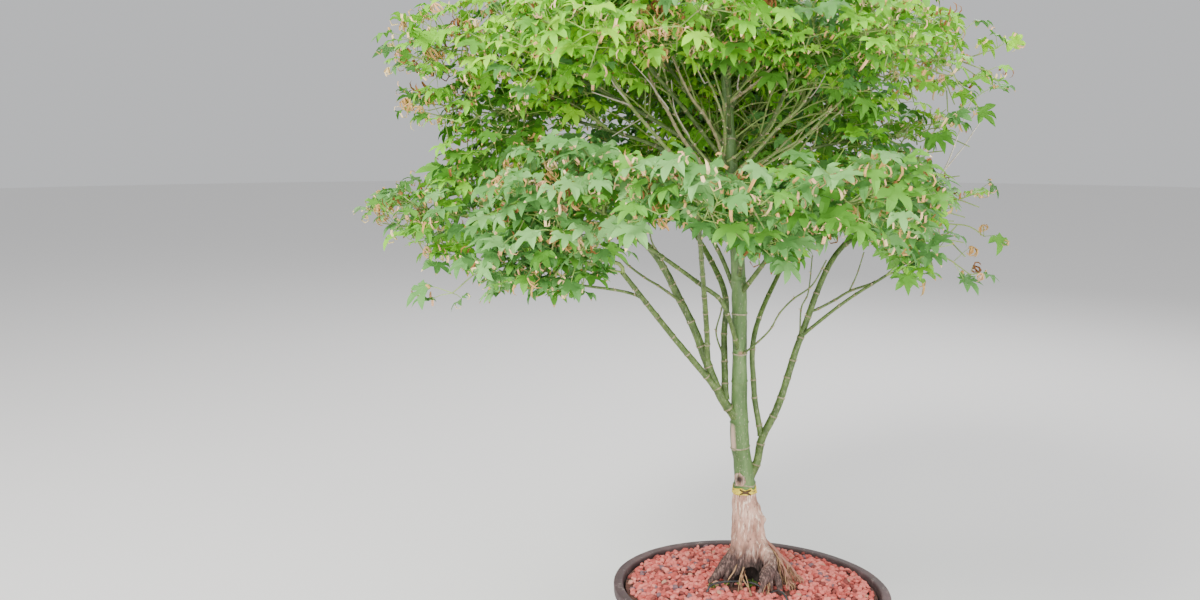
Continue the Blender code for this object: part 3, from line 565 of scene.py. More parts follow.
def grainy_material(name, scale, detail, pattern_roughness, stops, roughness, bump):
    """A finish coloured and roughened by one noise; bump is its strength and height, if it has any."""
    material, tree, shader = new_material(name)
    grain = noise_pattern(tree, scale, detail, pattern_roughness)
    tree.links.new(colour_ramp(tree, grain, *stops), shader.inputs["Base Color"])
    shader.inputs["Roughness"].default_value = roughness
    if bump:
        add_bump(tree, shader, grain, *bump)
    return material


# Colour stops: dark crumbly soil, faded and grimy yellow tape, the dusty black coating of a wire; and the
# brown of the painted shade on the bark
SOIL_COLOURS = ((0.30, (0.030, 0.014, 0.011)), (0.55, (0.120, 0.045, 0.034)), (0.80, (0.290, 0.110, 0.080)))
TAPE_COLOURS = ((0.32, (0.330, 0.220, 0.070)), (0.45, (0.760, 0.580, 0.030)), (0.75, (0.880, 0.730, 0.080)))
WIRE_COLOURS = ((0.45, (0.012, 0.012, 0.014)), (0.75, (0.060, 0.056, 0.052)))
PAINTED_SHADE_BROWN = (0.022, 0.014, 0.010)


def tint_near(tree, colour, place, inner, outer, tint=PAINTED_SHADE_BROWN):
    """The colour turned to a tint within a distance of a point, fading out to a second distance."""
    where = tree.nodes.new("ShaderNodeTexCoord")
    apart = tree.nodes.new("ShaderNodeVectorMath")
    apart.operation = "DISTANCE"
    apart.inputs[1].default_value = place
    tree.links.new(where.outputs["Object"], apart.inputs[0])
    fade = range_of(tree, apart.outputs["Value"], inner, outer, 0.96, 0.0)
    return mix_colours(tree, fade, colour, plain_colour(tree, tint))


# The dark skirt at the trunk's foot: heights where it is whole and where it ends, and its edge's stray
SKIRT_STRAY = 0.050
SKIRT_FULL = GROUND + SKIRT_STRAY / 2 + 0.026
SKIRT_END = GROUND + SKIRT_STRAY / 2 + 0.052


def rootstock_material(foot):
    """Pinkish grey-tan bark with long pale streaks and dark fissures, darker at the ground."""
    material, tree, shader = new_material("rootstock_bark")
    body = colour_ramp(tree, noise_pattern(tree, 60, 6, 0.65, 0.5), (0.30, (0.290, 0.140, 0.100)),
                       (0.50, (0.590, 0.335, 0.250)), (0.70, (0.860, 0.570, 0.440)))
    streak = noise_pattern(tree, 430, 5, 0.6, 0.11)
    pale = share_ramp(tree, streak, (0.53, 0.0), (0.62, 0.90))
    lit = mix_colours(tree, pale, body, plain_colour(tree, (0.960, 0.780, 0.630)))
    fissure = noise_pattern(tree, 360, 7, 0.7, 0.13)
    gap = share_ramp(tree, fissure, (0.35, 0.90), (0.43, 0.0))
    cracked = mix_colours(tree, gap, lit, plain_colour(tree, (0.110, 0.062, 0.042)))
    # The skirt: the bark turned darker towards the ground, below a ragged edge
    height = tree.nodes.new("ShaderNodeMath")
    height.operation = "MULTIPLY_ADD"
    tree.links.new(noise_pattern(tree, 170, 4, 0.6, 0.35), height.inputs[0])
    height.inputs[1].default_value = SKIRT_STRAY
    tree.links.new(height_above(tree), height.inputs[2])
    low = range_of(tree, height.outputs["Value"], SKIRT_FULL, SKIRT_END, 1.0, 0.0)
    skirt_colours = colour_ramp(tree, streak, (0.36, (0.030, 0.018, 0.015)), (0.52, (0.100, 0.058, 0.052)),
                       (0.66, (0.270, 0.170, 0.145)))
    colour = mix_colours(tree, low, cracked, skirt_colours)
    # Painted shade: dark brown over the hollows under the roots, the knob in front and the callus's sunken
    # middle
    for place, inner, outer in BARK_SHADOWS:
        colour = tint_near(tree, colour, foot + Vector(place), inner, outer)
    tree.links.new(colour, shader.inputs["Base Color"])
    shader.inputs["Roughness"].default_value = 0.85
    add_bump(tree, shader, fissure, 0.85, 0.0020)
    return material


def smooth_bark(name):
    """Smooth young bark: soft blotches with fine lengthwise streaks."""
    dark, middle, light, stretch, scale = BARKS[name]
    material, tree, shader = new_material(name)
    blotch = noise_pattern(tree, scale, 5, 0.62, stretch)
    body = colour_ramp(tree, blotch, (0.30, dark), (0.50, middle), (0.72, light))
    flecks = share_ramp(tree, noise_pattern(tree, 640, 3, 0.55, 0.35), (0.60, 0.0), (0.70, 0.55))
    corky = plain_colour(tree, (0.470, 0.420, 0.290))
    tree.links.new(mix_colours(tree, flecks, body, corky), shader.inputs["Base Color"])
    shader.inputs["Roughness"].default_value = 0.55
    add_bump(tree, shader, noise_pattern(tree, 520, 4, 0.6, 0.25), 0.30, 0.0004)
    return material


# Paths and tubes

def smooth_path(controls, count):
    """Points evenly spread on a Catmull-Rom curve through the control points."""
    controls = [Vector(point) for point in controls]
    first = controls[0] * 2 - controls[1]
    last = controls[-1] * 2 - controls[-2]
    padded = [first] + controls + [last]
    fine = []
    steps = 24
    for index in range(len(controls) - 1):
        before, start, end, after = padded[index:index + 4]
        for step in range(steps):
            t = step / steps
            fine.append(0.5 * (2 * start + (end - before) * t
                               + (2 * before - 5 * start + 4 * end - after) * t ** 2
                               + (3 * start - before - 3 * end + after) * t ** 3))
    fine.append(controls[-1])
    return spread_evenly(fine, count)


def path_lengths(path):
    lengths = [0.0]
    for before, after in zip(path, path[1:]):
        lengths.append(lengths[-1] + (after - before).length)
    return lengths


def points_at(path, lengths, wanted):
    """The path's points at these lengths along it, which rise."""
    found = []
    cursor = 0
    for distance in wanted:
        while cursor < len(path) - 2 and lengths[cursor + 1] < distance:
            cursor += 1
        share = (distance - lengths[cursor]) / max(lengths[cursor + 1] - lengths[cursor], 1e-9)
        found.append(path[cursor].lerp(path[cursor + 1], share))
    return found


def even_steps(length, count):
    return [length * index / (count - 1) for index in range(count)]


def spread_evenly(path, count):
    lengths = path_lengths(path)
    return points_at(path, lengths, even_steps(lengths[-1], count))


def tapered(first, last, count, divisor=2000):
    """Radii that run evenly from one end to the other, in metres from diameters in millimetres."""
    return [(first + (last - first) * index / (count - 1)) / divisor for index in range(count)]


def spoke_at(across, upward, angle):
    return across * math.cos(angle) + upward * math.sin(angle)


def ring_frames(path):
    """For each point of the path its tangent and two spokes, carried along without twist."""
    heading = (path[1] - path[0]).normalized()
    across = heading.orthogonal().normalized()
    frames = []
    for index in range(len(path)):
        before = path[max(index - 1, 0)]
        after = path[min(index + 1, len(path) - 1)]
        tangent = (after - before).normalized()
        across = (across - tangent * across.dot(tangent)).normalized()
        frames.append((tangent, across, tangent.cross(across)))
    return frames


def tube(path, radii, sides, relief=None):
    """Points and faces of a closed tube; relief gives how far a surface point stands out further."""
    points = []
    for place, radius, (_, across, upward) in zip(path, radii, ring_frames(path)):
        for side in range(sides):
            spoke = spoke_at(across, upward, 2 * math.pi * side / sides)
            point = place + spoke * radius
            if relief is not None:
                point += spoke * relief(point, radius)
            points.append(point)
    faces = []
    for ring in range(len(path) - 1):
        for side in range(sides):
            near = ring * sides + side
            far = ring * sides + (side + 1) % sides
            faces.append((near, far, far + sides, near + sides))
    faces.append(tuple(reversed(range(sides))))
    faces.append(tuple(range((len(path) - 1) * sides, len(path) * sides)))
    return points, faces


class Limb:
    """A limb's centre line and radii."""

    def __init__(self, path, radii):
        self.path = path
        self.radii = radii
        self.lengths = path_lengths(path)

    def at_height(self, height):
        for index in range(len(self.path) - 1):
            low, high = self.path[index].z, self.path[index + 1].z
            if low <= height <= high:
                return self.path[index].lerp(self.path[index + 1], (height - low) / (high - low))
        raise ValueError("no point at this height")

    def radius_near(self, point):
        index = min(range(len(self.path)), key=lambda i: (self.path[i] - point).length_squared)
        return self.radii[index]

    def samples(self):
        """Rows of x, y, z and radius, close together along the limb."""
        count = max(2, round(self.lengths[-1] / 0.006))
        wanted = even_steps(self.lengths[-1], count)
        radii = np.interp(wanted, self.lengths, self.radii)
        return [(*point, radius) for point, radius in zip(points_at(self.path, self.lengths, wanted), radii)]


def trunk_limb():
    path = [Vector((x, TRUNK_Y + y, GROUND + height)) for height, x, y, _ in TRUNK_STATIONS]
    return Limb(path, [station[-1] / 2 for station in TRUNK_STATIONS])


def bough_limb(spec, limbs):
    parent, height, base_width, tip_width, route = spec
    controls = [limbs[parent].at_height(height), *route]
    length = sum((Vector(b) - Vector(a)).length for a, b in zip(controls, controls[1:]))
    count = max(4, round(length / 0.008) + 1)
    return Limb(smooth_path(controls, count), tapered(base_width, tip_width, count, 2))


def all_limbs():
    limbs = {"trunk": trunk_limb()}
    for name, spec in BOUGHS.items():
        limbs[name] = bough_limb(spec, limbs)
    return limbs


# Pot and gravel

def resize_ring(half_x, half_y, new_x, new_y, height):
    bpy.ops.transform.resize(value=(new_x / half_x, new_y / half_y, 1), center_override=(0, 0, height))


def oval_body(half_x, half_y, profile, sides):
    """A closed oval body drawn up ring by ring from its flat foot, by (inset, height) stations."""
    item = add_item(bpy.ops.mesh.primitive_circle_add, vertices=sides, radius=1, fill_type="NGON")
    bpy.ops.object.mode_set(mode="EDIT")
    bpy.ops.mesh.select_all(action="SELECT")
    inset, height = profile[0]
    bpy.ops.transform.translate(value=(0, 0, height))
    resize_ring(1, 1, half_x - inset, half_y - inset, height)
    for next_inset, next_height in profile[1:]:
        bpy.ops.mesh.extrude_region_move(TRANSFORM_OT_translate={"value": (0, 0, next_height - height)})
        resize_ring(half_x - inset, half_y - inset, half_x - next_inset, half_y - next_inset, next_height)
        inset, height = next_inset, next_height
    bpy.ops.mesh.select_all(action="SELECT")
    bpy.ops.mesh.normals_make_consistent(inside=False)
    bpy.ops.object.mode_set(mode="OBJECT")
    return item


def rounded_corner(centre_inset, centre_height, radius, start, end, steps):
    """Stations on an arc, its angles counted from outwards to upwards, in degrees."""
    stations = []
    for step in range(steps + 1):
        angle = math.radians(start + (end - start) * step / steps)
        stations.append((centre_inset - radius * math.cos(angle), centre_height + radius * math.sin(angle)))
    return stations


# The pot's sections as (inset from the rim's oval, height): its foot ring, the wall's lower and upper
# inset, the round of the lip and the inside down to the floor
POT_FOOT = ((0.0400, 0.0), (0.0395, 0.0012), (0.0382, 0.0085), (0.0368, 0.0104), (0.0345, 0.0130))
POT_WALL_INSET = (0.0345, 0.0083)
POT_WALL_BOW = 0.82
POT_INSIDE = ((0.0136, 0.0885), (0.0160, 0.0700), (0.0240, 0.0350), (0.0330, 0.0190), (0.0460, 0.0110))
LIP_DEPTH = 0.0125
LIP_ROUND = 0.0026
DRAIN_RADIUS = 0.0085
DRAIN_PLACE = 0.070


def pot_profile(height):
    lip_low = height - LIP_DEPTH
    profile = list(POT_FOOT)
    low_inset, high_inset = POT_WALL_INSET
    foot_top = POT_FOOT[-1][1]
    for step in range(1, 9):
        share = step / 8
        inset = low_inset - (low_inset - high_inset) * share ** POT_WALL_BOW
        profile.append((inset, foot_top + (lip_low - 0.0150) * share))
    profile += rounded_corner(0.0022, lip_low + 0.0004, 0.0018, -70, 0, 3)
    profile += rounded_corner(LIP_ROUND, height - LIP_ROUND, LIP_ROUND, 0, 90, 5)
    profile += rounded_corner(0.0094, height - LIP_ROUND, LIP_ROUND, 90, 180, 5)
    return profile + list(POT_INSIDE)


def build_pot(settings):
    """The oval pot, with two drain holes and a hand-thrown wall."""
    half_x, half_y = settings.length / 2, settings.depth / 2
    pot = oval_body(half_x, half_y, pot_profile(settings.height), 120)
    for side in (-1, 1):
        cut_away(pot, add_item(bpy.ops.mesh.primitive_cylinder_add, vertices=32, radius=DRAIN_RADIUS,
                               depth=0.04, location=(side * DRAIN_PLACE, 0, 0.005)))
    for vertex in pot.data.vertices:
        if vertex.co.z > 0.012:
            push = noise.noise(vertex.co * 26) * 0.0005 + noise.noise(vertex.co * 90) * 0.00015
            outward = Vector((vertex.co.x, vertex.co.y, 0)).normalized()
            vertex.co -= outward * (0.0004 + push)
    pot.data.materials.append(clay_material(settings.clay))
    smooth_by_angle(pot, 38)
    finish_piece(pot, "clay_pot", ("pot",))


# The gravel's top: its height at the wall, how far it rises within this share of the oval, how far the
# mound at the trunk stands above that, and the mound's width and stretch to the sides
GRAVEL_EDGE = 0.0905
GRAVEL_RISE = 0.004
GRAVEL_RISE_SHARE = 0.12
GRAVEL_MOUND = 0.0085
MOUND_WIDTH = 0.062
MOUND_STRETCH = 1.12


def soil_height(x, y, half_x, half_y):
    """Height of the gravel's top: low at the wall, domed up towards the trunk."""
    reach = math.hypot(x / half_x, y / half_y)
    towards = math.hypot(x / MOUND_STRETCH, y - TRUNK_Y) / MOUND_WIDTH
    edge = GRAVEL_EDGE + GRAVEL_RISE * min(1.0, max(0.0, (1.0 - reach) / GRAVEL_RISE_SHARE))
    dome = 1 / (1 + max(0.0, towards - 0.9) ** 2 * 0.55)
    return edge + GRAVEL_MOUND * dome


# The soil's sections as (inset, height), and the rings of its top by their first inset, step and number
SOIL_SIDE = ((0.0468, 0.0113), (0.0340, 0.0190), (0.0250, 0.0350), (0.0170, 0.0700), (0.0150, 0.0860))
SOIL_TOP = 0.0870
SOIL_RINGS = (0.0160, 0.0124, 9)
# How far the soil lies under the stones' tops, and how uneven it is
SOIL_DEPTH = 0.0042
SOIL_UNEVEN = 0.0014


def build_soil(settings):
    """The soil bed under the stones, drawn up from the pot's floor."""
    half_x, half_y = settings.length / 2, settings.depth / 2
    first, step, count = SOIL_RINGS
    profile = list(SOIL_SIDE) + [(first + step * ring, SOIL_TOP) for ring in range(count)]
    soil = oval_body(half_x, half_y, profile, 96)
    for vertex in soil.data.vertices:
        if vertex.co.z > SOIL_TOP - 0.0005:
            top = soil_height(vertex.co.x, vertex.co.y, half_x, half_y)
            vertex.co.z = top - SOIL_DEPTH + noise.noise(vertex.co * 130) * SOIL_UNEVEN
    crumbs = grainy_material("dark_red_soil", 260, 6, 0.7, SOIL_COLOURS, 0.95, (0.8, 0.0015))
    soil.data.materials.append(crumbs)
    smooth_by_angle(soil, 50)
    finish_piece(soil, "soil_bed", ("soil",))


# The stones' colours, the first of them lava reds, and the share of each
STONE_COLOURS = {
    "lava_salmon": (0.660, 0.175, 0.150),
    "lava_red": (0.490, 0.100, 0.085),
    "lava_pale": (0.720, 0.240, 0.200),
    "lava_dark": (0.230, 0.055, 0.048),
    "stone_grey": (0.200, 0.120, 0.135),
    "stone_tan": (0.500, 0.270, 0.190),
}
STONE_SHARES = (40, 30, 13, 10, 5, 2)
RED_COLOURS = 3
# Places with few stones, under the roots: centre, half sizes and the share of stones that lie there
SPARSE_STONES = (((-0.018, -0.008), (0.032, 0.016), 0.25), ((0.040, -0.004), (0.022, 0.024), 0.40))


def stone_template(rng):
    """Points and faces of one rough stone about the origin, of unit radius."""
    item = add_item(bpy.ops.mesh.primitive_ico_sphere_add, subdivisions=2, radius=1)
    offset = random_vector(rng, (-50, 50), (-50, 50), (-50, 50))
    squash = (rng.uniform(0.85, 1.25), rng.uniform(0.75, 1.05), rng.uniform(0.60, 0.85))
    points = []
    for vertex in item.data.vertices:
        lump = 1 + 0.30 * noise.noise(vertex.co * 1.3 + offset) + 0.22 * noise.noise(vertex.co * 3.1 + offset)
        points.append([vertex.co[axis] * lump * squash[axis] for axis in range(3)])
    faces = [tuple(face.vertices) for face in item.data.polygons]
    bpy.data.objects.remove(item, do_unlink=True)
    return np.array(points), faces


def random_turn(rng):
    """A turn by any angle about the vertical, then a tilt."""
    turn = Matrix.Rotation(rng.uniform(0, math.tau), 3, "Z")
    tilt = Matrix.Rotation(rng.uniform(-0.6, 0.6), 3, "X") @ Matrix.Rotation(rng.uniform(-0.6, 0.6), 3, "Y")
    return np.array(tilt @ turn)


def is_bare(x, y, rng):
    """Whether a stone is left out here, because few lie under the roots."""
    return any(math.hypot((x - place[0]) / half[0], (y - place[1]) / half[1]) < 1 and rng.random() > share
               for place, half, share in SPARSE_STONES)


# Gap between the outermost stones and the rim's oval, distance between rows against that between
# stones, how far a stone strays from its place on the grid, and the stones' free circle at the trunk
GRAVEL_INSET = 0.0172
ROW_SHARE = 0.866
STONE_STRAY = 0.35
TRUNK_CLEARANCE = 0.020
# Number of stone shapes, a stone's size against the middling one, the share of it that is sunk, and how
# far it stands higher or lower
STONE_SHAPES = 14
STONE_SIZES = (0.62, 1.28)
STONE_SUNK = 0.72
STONE_LIFT = (-0.0012, 0.0016)


def build_gravel(settings, pot_settings):
    """Lava stones on a jittered grid over the soil, in two pieces by colour."""
    rng = random.Random(11)
    half_x = pot_settings.length / 2 - GRAVEL_INSET
    half_y = pot_settings.depth / 2 - GRAVEL_INSET
    templates = [stone_template(rng) for _ in range(STONE_SHAPES)]
    red, grey = Sheaf(), Sheaf()
    names = list(STONE_COLOURS)
    spacing = settings.spacing
    for row in range(int(half_y * 2 / (spacing * ROW_SHARE)) + 2):
        for column in range(int(half_x * 2 / spacing) + 2):
            x = -half_x + (column + 0.5 * (row % 2)) * spacing
            y = -half_y + row * spacing * ROW_SHARE
            x += rng.uniform(-STONE_STRAY, STONE_STRAY) * spacing
            y += rng.uniform(-STONE_STRAY, STONE_STRAY) * spacing
            size = settings.stone * rng.uniform(*STONE_SIZES)
            reach = math.hypot(x / (half_x - size * 0.9), y / (half_y - size * 0.9))
            if reach > 1.0 or math.hypot(x, y - TRUNK_Y) < TRUNK_CLEARANCE or is_bare(x, y, rng):
                continue
            top = soil_height(x, y, pot_settings.length / 2, pot_settings.depth / 2)
            centre = np.array((x, y, top - size * STONE_SUNK + rng.uniform(*STONE_LIFT)))
            shape, faces = rng.choice(templates)
            colour = rng.choices(range(len(names)), STONE_SHARES)[0]
            points = shape @ random_turn(rng).T * size + centre
            if colour < RED_COLOURS:
                red.add(points, faces, colour)
            else:
                grey.add(points, faces, colour - RED_COLOURS)
    pieces = ((red, "red_lava_stones", names[:RED_COLOURS]), (grey, "dark_stones", names[RED_COLOURS:]))
    for sheaf, name, colours in pieces:
        materials = [plain_material(colour, STONE_COLOURS[colour], 0.92, 0.25) for colour in colours]
        item = sheaf.make(name, materials)
        item.data.shade_flat()
        finish_piece(item, name, ("soil",))


# Trunk

# Surface roots, from the foot's centre: points they run through in millimetres, and end diameters
SURFACE_ROOTS = {
    "left_flank": (((-9, -2, 44), (-20, -7, 26), (-32, -14, 12), (-45, -22, 0), (-52, -26, -9)), 24, 9),
    "left_back": (((-10, 6, 38), (-21, 13, 15), (-32, 20, -2), (-42, 27, -14)), 17, 8),
    "left_side": (((-9, 2, 44), (-21, 0, 24), (-35, -5, 8), (-48, -10, -9)), 22, 9),
    "back": (((0, 10, 38), (-5, 24, 18), (-9, 38, 3), (-12, 47, -11)), 19, 8),
    "right_back": (((10, 8, 42), (23, 18, 22), (34, 28, 6), (44, 38, -10)), 18, 7),
    "right": (((11, 0, 44), (25, -2, 25), (38, -6, 10), (51, -11, -9)), 16, 6),
    "front_left": (((-6, -12, 36), (-12, -21, 18), (-18, -28, 4), (-21, -33, -9)), 15, 7),
    "front_left_thin": (((-13, -10, 34), (-22, -18, 15), (-29, -24, 1), (-33, -28, -8)), 10, 5),
    "front_right": (((6, -4, 54), (15, -13, 39), (25, -21, 28), (26, -29, 21), (19, -37, 13),
                     (13, -44, 3), (11, -50, -8)), 24, 13),
    "front_right_fork": (((24, -22, 24), (33, -29, 13), (38, -38, 2), (41, -44, -9)), 13, 6),
    "front_right_fibre": (((25, -30, 18), (27, -40, 7), (29, -49, -8)), 8, 4),
}
# The rootstock's core in millimetres: height above the ground and diameter
CORE_STATIONS = metres(((-12, 70), (0, 64), (12, 56), (26, 49), (42, 44.5), (58, 43.2), (75, 40.8),
    (90, 35.5), (98, 32.5), (106, 29.5), (112, 28), (116.5, 26.2), (119, 20)))
# How much thicker than the stations' diameters the dressed stem is, from a little above the graft
STEM_SWELL = 1.05
GRAFT_HEIGHT = 0.1165
GRAFT_TAPER = 0.030
# Callus left by the graft, on the trunk's front left: height of its middle, bearing in degrees,
# half its width and height, and the rim's radius
CALLUS_HEIGHT = 0.1315
CALLUS_BEARING = -116
CALLUS_HALF = (0.0048, 0.0068)
CALLUS_RIM = 0.0030
# Dark hollows under the roots, in millimetres from the foot's centre: place and half sizes
ROOT_HOLLOWS = metres((((2, -34, 5), (13.5, 27, 15.5)), ((-10, -36, 1), (11, 20, 9.5)), ((36, -22, 3),
    (7, 12, 7))))
# Spots of painted shade on the bark, in millimetres from the foot's centre: place, where the shade is whole
# and where it ends; they darken the hollows under the roots, the small knob in front and the graft callus's
# sunken middle
BARK_SHADOWS = metres((((3, -20, 6), 12, 25), ((-9, -22, 2), 8, 19), ((36, -18, 3), 6, 13), ((1, -22.5, 56),
    0.4, 2.4), ((-15.2, -14.2, 131.8), 2.6, 9.5)))
# Knobs on the bark: height above the ground, bearing in degrees, size and how far they stand out
BARK_KNOBS = ((0.075, -5, 0.0052, 0.0034), (0.056, -86, 0.0026, 0.0012), (0.030, -130, 0.0045, 0.0016))
# The long groove down the front left: bearing in degrees, depth and half width
GROOVE_BEARING = -122
GROOVE_DEPTH = 0.0020
GROOVE_HALF_WIDTH = 0.0016
# The rootstock's middling radius, by which an angle round it becomes a distance
STOCK_RADIUS = 0.021
# Edge of the cubes in which the rootstock's parts are blended
STOCK_VOXEL = 0.0010


def curve_tube(points, radii):
    """A tube drawn as a curve with a round bevel, made a mesh."""
    curve = add_item(bpy.ops.curve.primitive_nurbs_path_add).data
    curve.splines.clear()
    spline = curve.splines.new("POLY")
    spline.points.add(len(points) - 1)
    for slot, point, radius in zip(spline.points, points, radii):
        slot.co = (*point, 1.0)
        slot.radius = radius
    curve.dimensions = "3D"
    curve.bevel_depth = 1.0
    curve.bevel_resolution = 6
    curve.use_fill_caps = True
    bpy.ops.object.convert(target="MESH")
    return bpy.context.object


def join_all(items):
    deselect_all()
    for item in items:
        item.select_set(True)
    bpy.context.view_layer.objects.active = items[0]
    bpy.ops.object.join()
    return bpy.context.object


def angle_apart(one, other):
    return abs((one - other + math.pi) % math.tau - math.pi)


def bark_push(point, centre, relief):
    """How far the old bark stands out here: fissures along the grain, lumps, knobs and a groove."""
    turn = math.atan2(point.y - centre.y, point.x - centre.x)
    ridge = 1 - abs(noise.noise(Vector((point.x * 210, point.y * 210, point.z * 42)))) * 2.4
    fine = noise.noise(Vector((point.x * 520, point.y * 520, point.z * 130)))
    lump = noise.noise(point * 62)
    push = relief * (ridge * 0.50 + fine * 0.30 + lump * 0.8 - 0.35)
    for height, bearing, size, stand in BARK_KNOBS:
        apart = angle_apart(turn, math.radians(bearing)) * STOCK_RADIUS
        distance = math.hypot(apart, point.z - GROUND - height)
        push += stand * math.exp(-(distance / size) ** 2)
    line = math.radians(GROOVE_BEARING) + 0.10 * math.sin(point.z * 90)
    apart = angle_apart(turn, line) * STOCK_RADIUS
    return push - GROOVE_DEPTH * math.exp(-(apart / GROOVE_HALF_WIDTH) ** 2)


def station_radius(stations, height):
    """Half the width at this height of rows that start with a height and end with a width."""
    return float(np.interp(height, [row[0] for row in stations], [row[-1] / 2 for row in stations]))


def stem_radius(height):
    """The dressed stem's radius at this height above the ground."""
    share = min(1.0, max(0.0, (height - GRAFT_HEIGHT) / GRAFT_TAPER))
    return station_radius(TRUNK_STATIONS, height) * (1 + (STEM_SWELL - 1) * share)


def graft_callus(axis_at):
    """The graft's scar: a swollen rim round a sunken middle."""

    def on_trunk(across, up, sunk=0.0):
        height = CALLUS_HEIGHT + up
        surface = stem_radius(height)
        bearing = math.radians(CALLUS_BEARING) + across / surface
        return axis_at(height) + Vector((math.cos(bearing), math.sin(bearing), 0)) * (surface - sunk)

    rim = []
    for step in range(21):
        angle = math.tau * step / 20
        rim.append(on_trunk(CALLUS_HALF[0] * math.cos(angle), CALLUS_HALF[1] * math.sin(angle)))
    rim_radii = [CALLUS_RIM * (1 + 0.35 * noise.noise(point * 240)) for point in rim]
    middle = [on_trunk(0, up, 0.0008) for up in (-CALLUS_HALF[1], 0, CALLUS_HALF[1])]
    return [curve_tube(rim, rim_radii), curve_tube(middle, [0.0032, 0.0038, 0.0032])]


def build_rootstock(settings, limbs):
    """The flared foot with its surface roots, blended by a remesh and given its bark's relief."""
    trunk = limbs["trunk"]
    foot = trunk.path[0]

    def axis_at(height):
        return trunk.at_height(GROUND + max(0.0005, height)) + Vector((0, 0, min(0.0, height)))

    core = smooth_path([axis_at(height) for height, _ in CORE_STATIONS], 40)
    parts = [curve_tube(core, [station_radius(CORE_STATIONS, point.z - GROUND) for point in core])]
    for controls, thick, thin in SURFACE_ROOTS.values():
        path = smooth_path([foot + Vector(point) / 1000 for point in controls], 24)
        radii = [(thick + (thin - thick) * (index / 23) ** 0.8) / 2000 for index in range(24)]
        parts.append(curve_tube(path, radii))
    parts += graft_callus(axis_at)
    stock = join_all(parts)
    stock.data.remesh_voxel_size = STOCK_VOXEL
    stock.data.remesh_voxel_adaptivity = 0.0
    bpy.ops.object.voxel_remesh()
    for place, half in ROOT_HOLLOWS:
        hollow = add_item(bpy.ops.mesh.primitive_uv_sphere_add, segments=28, ring_count=16, radius=1,
                          location=foot + Vector(place))
        hollow.scale = half
        apply_place(hollow)
        cut_away(stock, hollow)
    make_active(stock)
    stock.data.remesh_voxel_size = STOCK_VOXEL
    bpy.ops.object.voxel_remesh()
    apply_modifier(stock, "SMOOTH", factor=0.6, iterations=7)
    normals = [vertex.normal.copy() for vertex in stock.data.vertices]
    for vertex, normal in zip(stock.data.vertices, normals):
        axis = axis_at(vertex.co.z - GROUND)
        vertex.co = vertex.co + normal * bark_push(vertex.co, axis, settings.relief)
    stock.data.materials.append(rootstock_material(foot))
    smooth_by_angle(stock, 60)
    finish_piece(stock, "rootstock", ("trunk",))


# Thin roots on the gravel: points they run through in millimetres from the foot's centre, and diameters
THIN_ROOTS = {
    "red_strand": (((17, -2, 52), (22, -3, 46), (32, -4, 36), (47, -7, 22), (58, -9, 9), (65, -10, -4)),
                   4.6, 3.2, "root_red"),
    "red_branch": (((34, -4, 35), (42, -14, 22), (48, -26, 10), (52, -36, -4)), 2.8, 1.8, "root_red"),
    "tan_upper": (((26, -3, 38), (38, -12, 26), (49, -20, 12), (57, -27, -4)), 2.4, 1.4, "root_tan"),
    "left_thread": (((-15, -20, 20), (-19, -27, 14), (-25, -34, 7), (-30, -42, -4)), 2.2, 1.4, "root_tan"),
    "front_thread": (((-7, -25, 19), (-9, -31, 14), (-11, -38, 7), (-9, -46, -4)), 2.4, 1.4, "root_tan"),
    "front_thread_low": (((-10, -32, 14), (-6, -42, 7), (0, -50, 3), (3, -58, -3)), 2.2, 1.2, "root_tan"),
}
# How far a thin root strays from its route
ROOT_STRAY = 0.0008
# Fans of fibres: the root they leave, the share of its length where they start and end, and their number
FIBRE_FANS = (
    ("red_strand", 0.30, 0.95, 34),
    ("red_branch", 0.10, 0.80, 18),
    ("tan_upper", 0.10, 0.80, 18),
)
# Fibres under the flare, in millimetres from the foot's centre: where they start, how far they may end to
# the sides and in front, and their number
ROOT_FIBRES = (
    ((25, -30, 14), (16, 30), (-62, -46), 11),
    ((-9, -32, 14), (-16, 2), (-60, -48), 4),
)


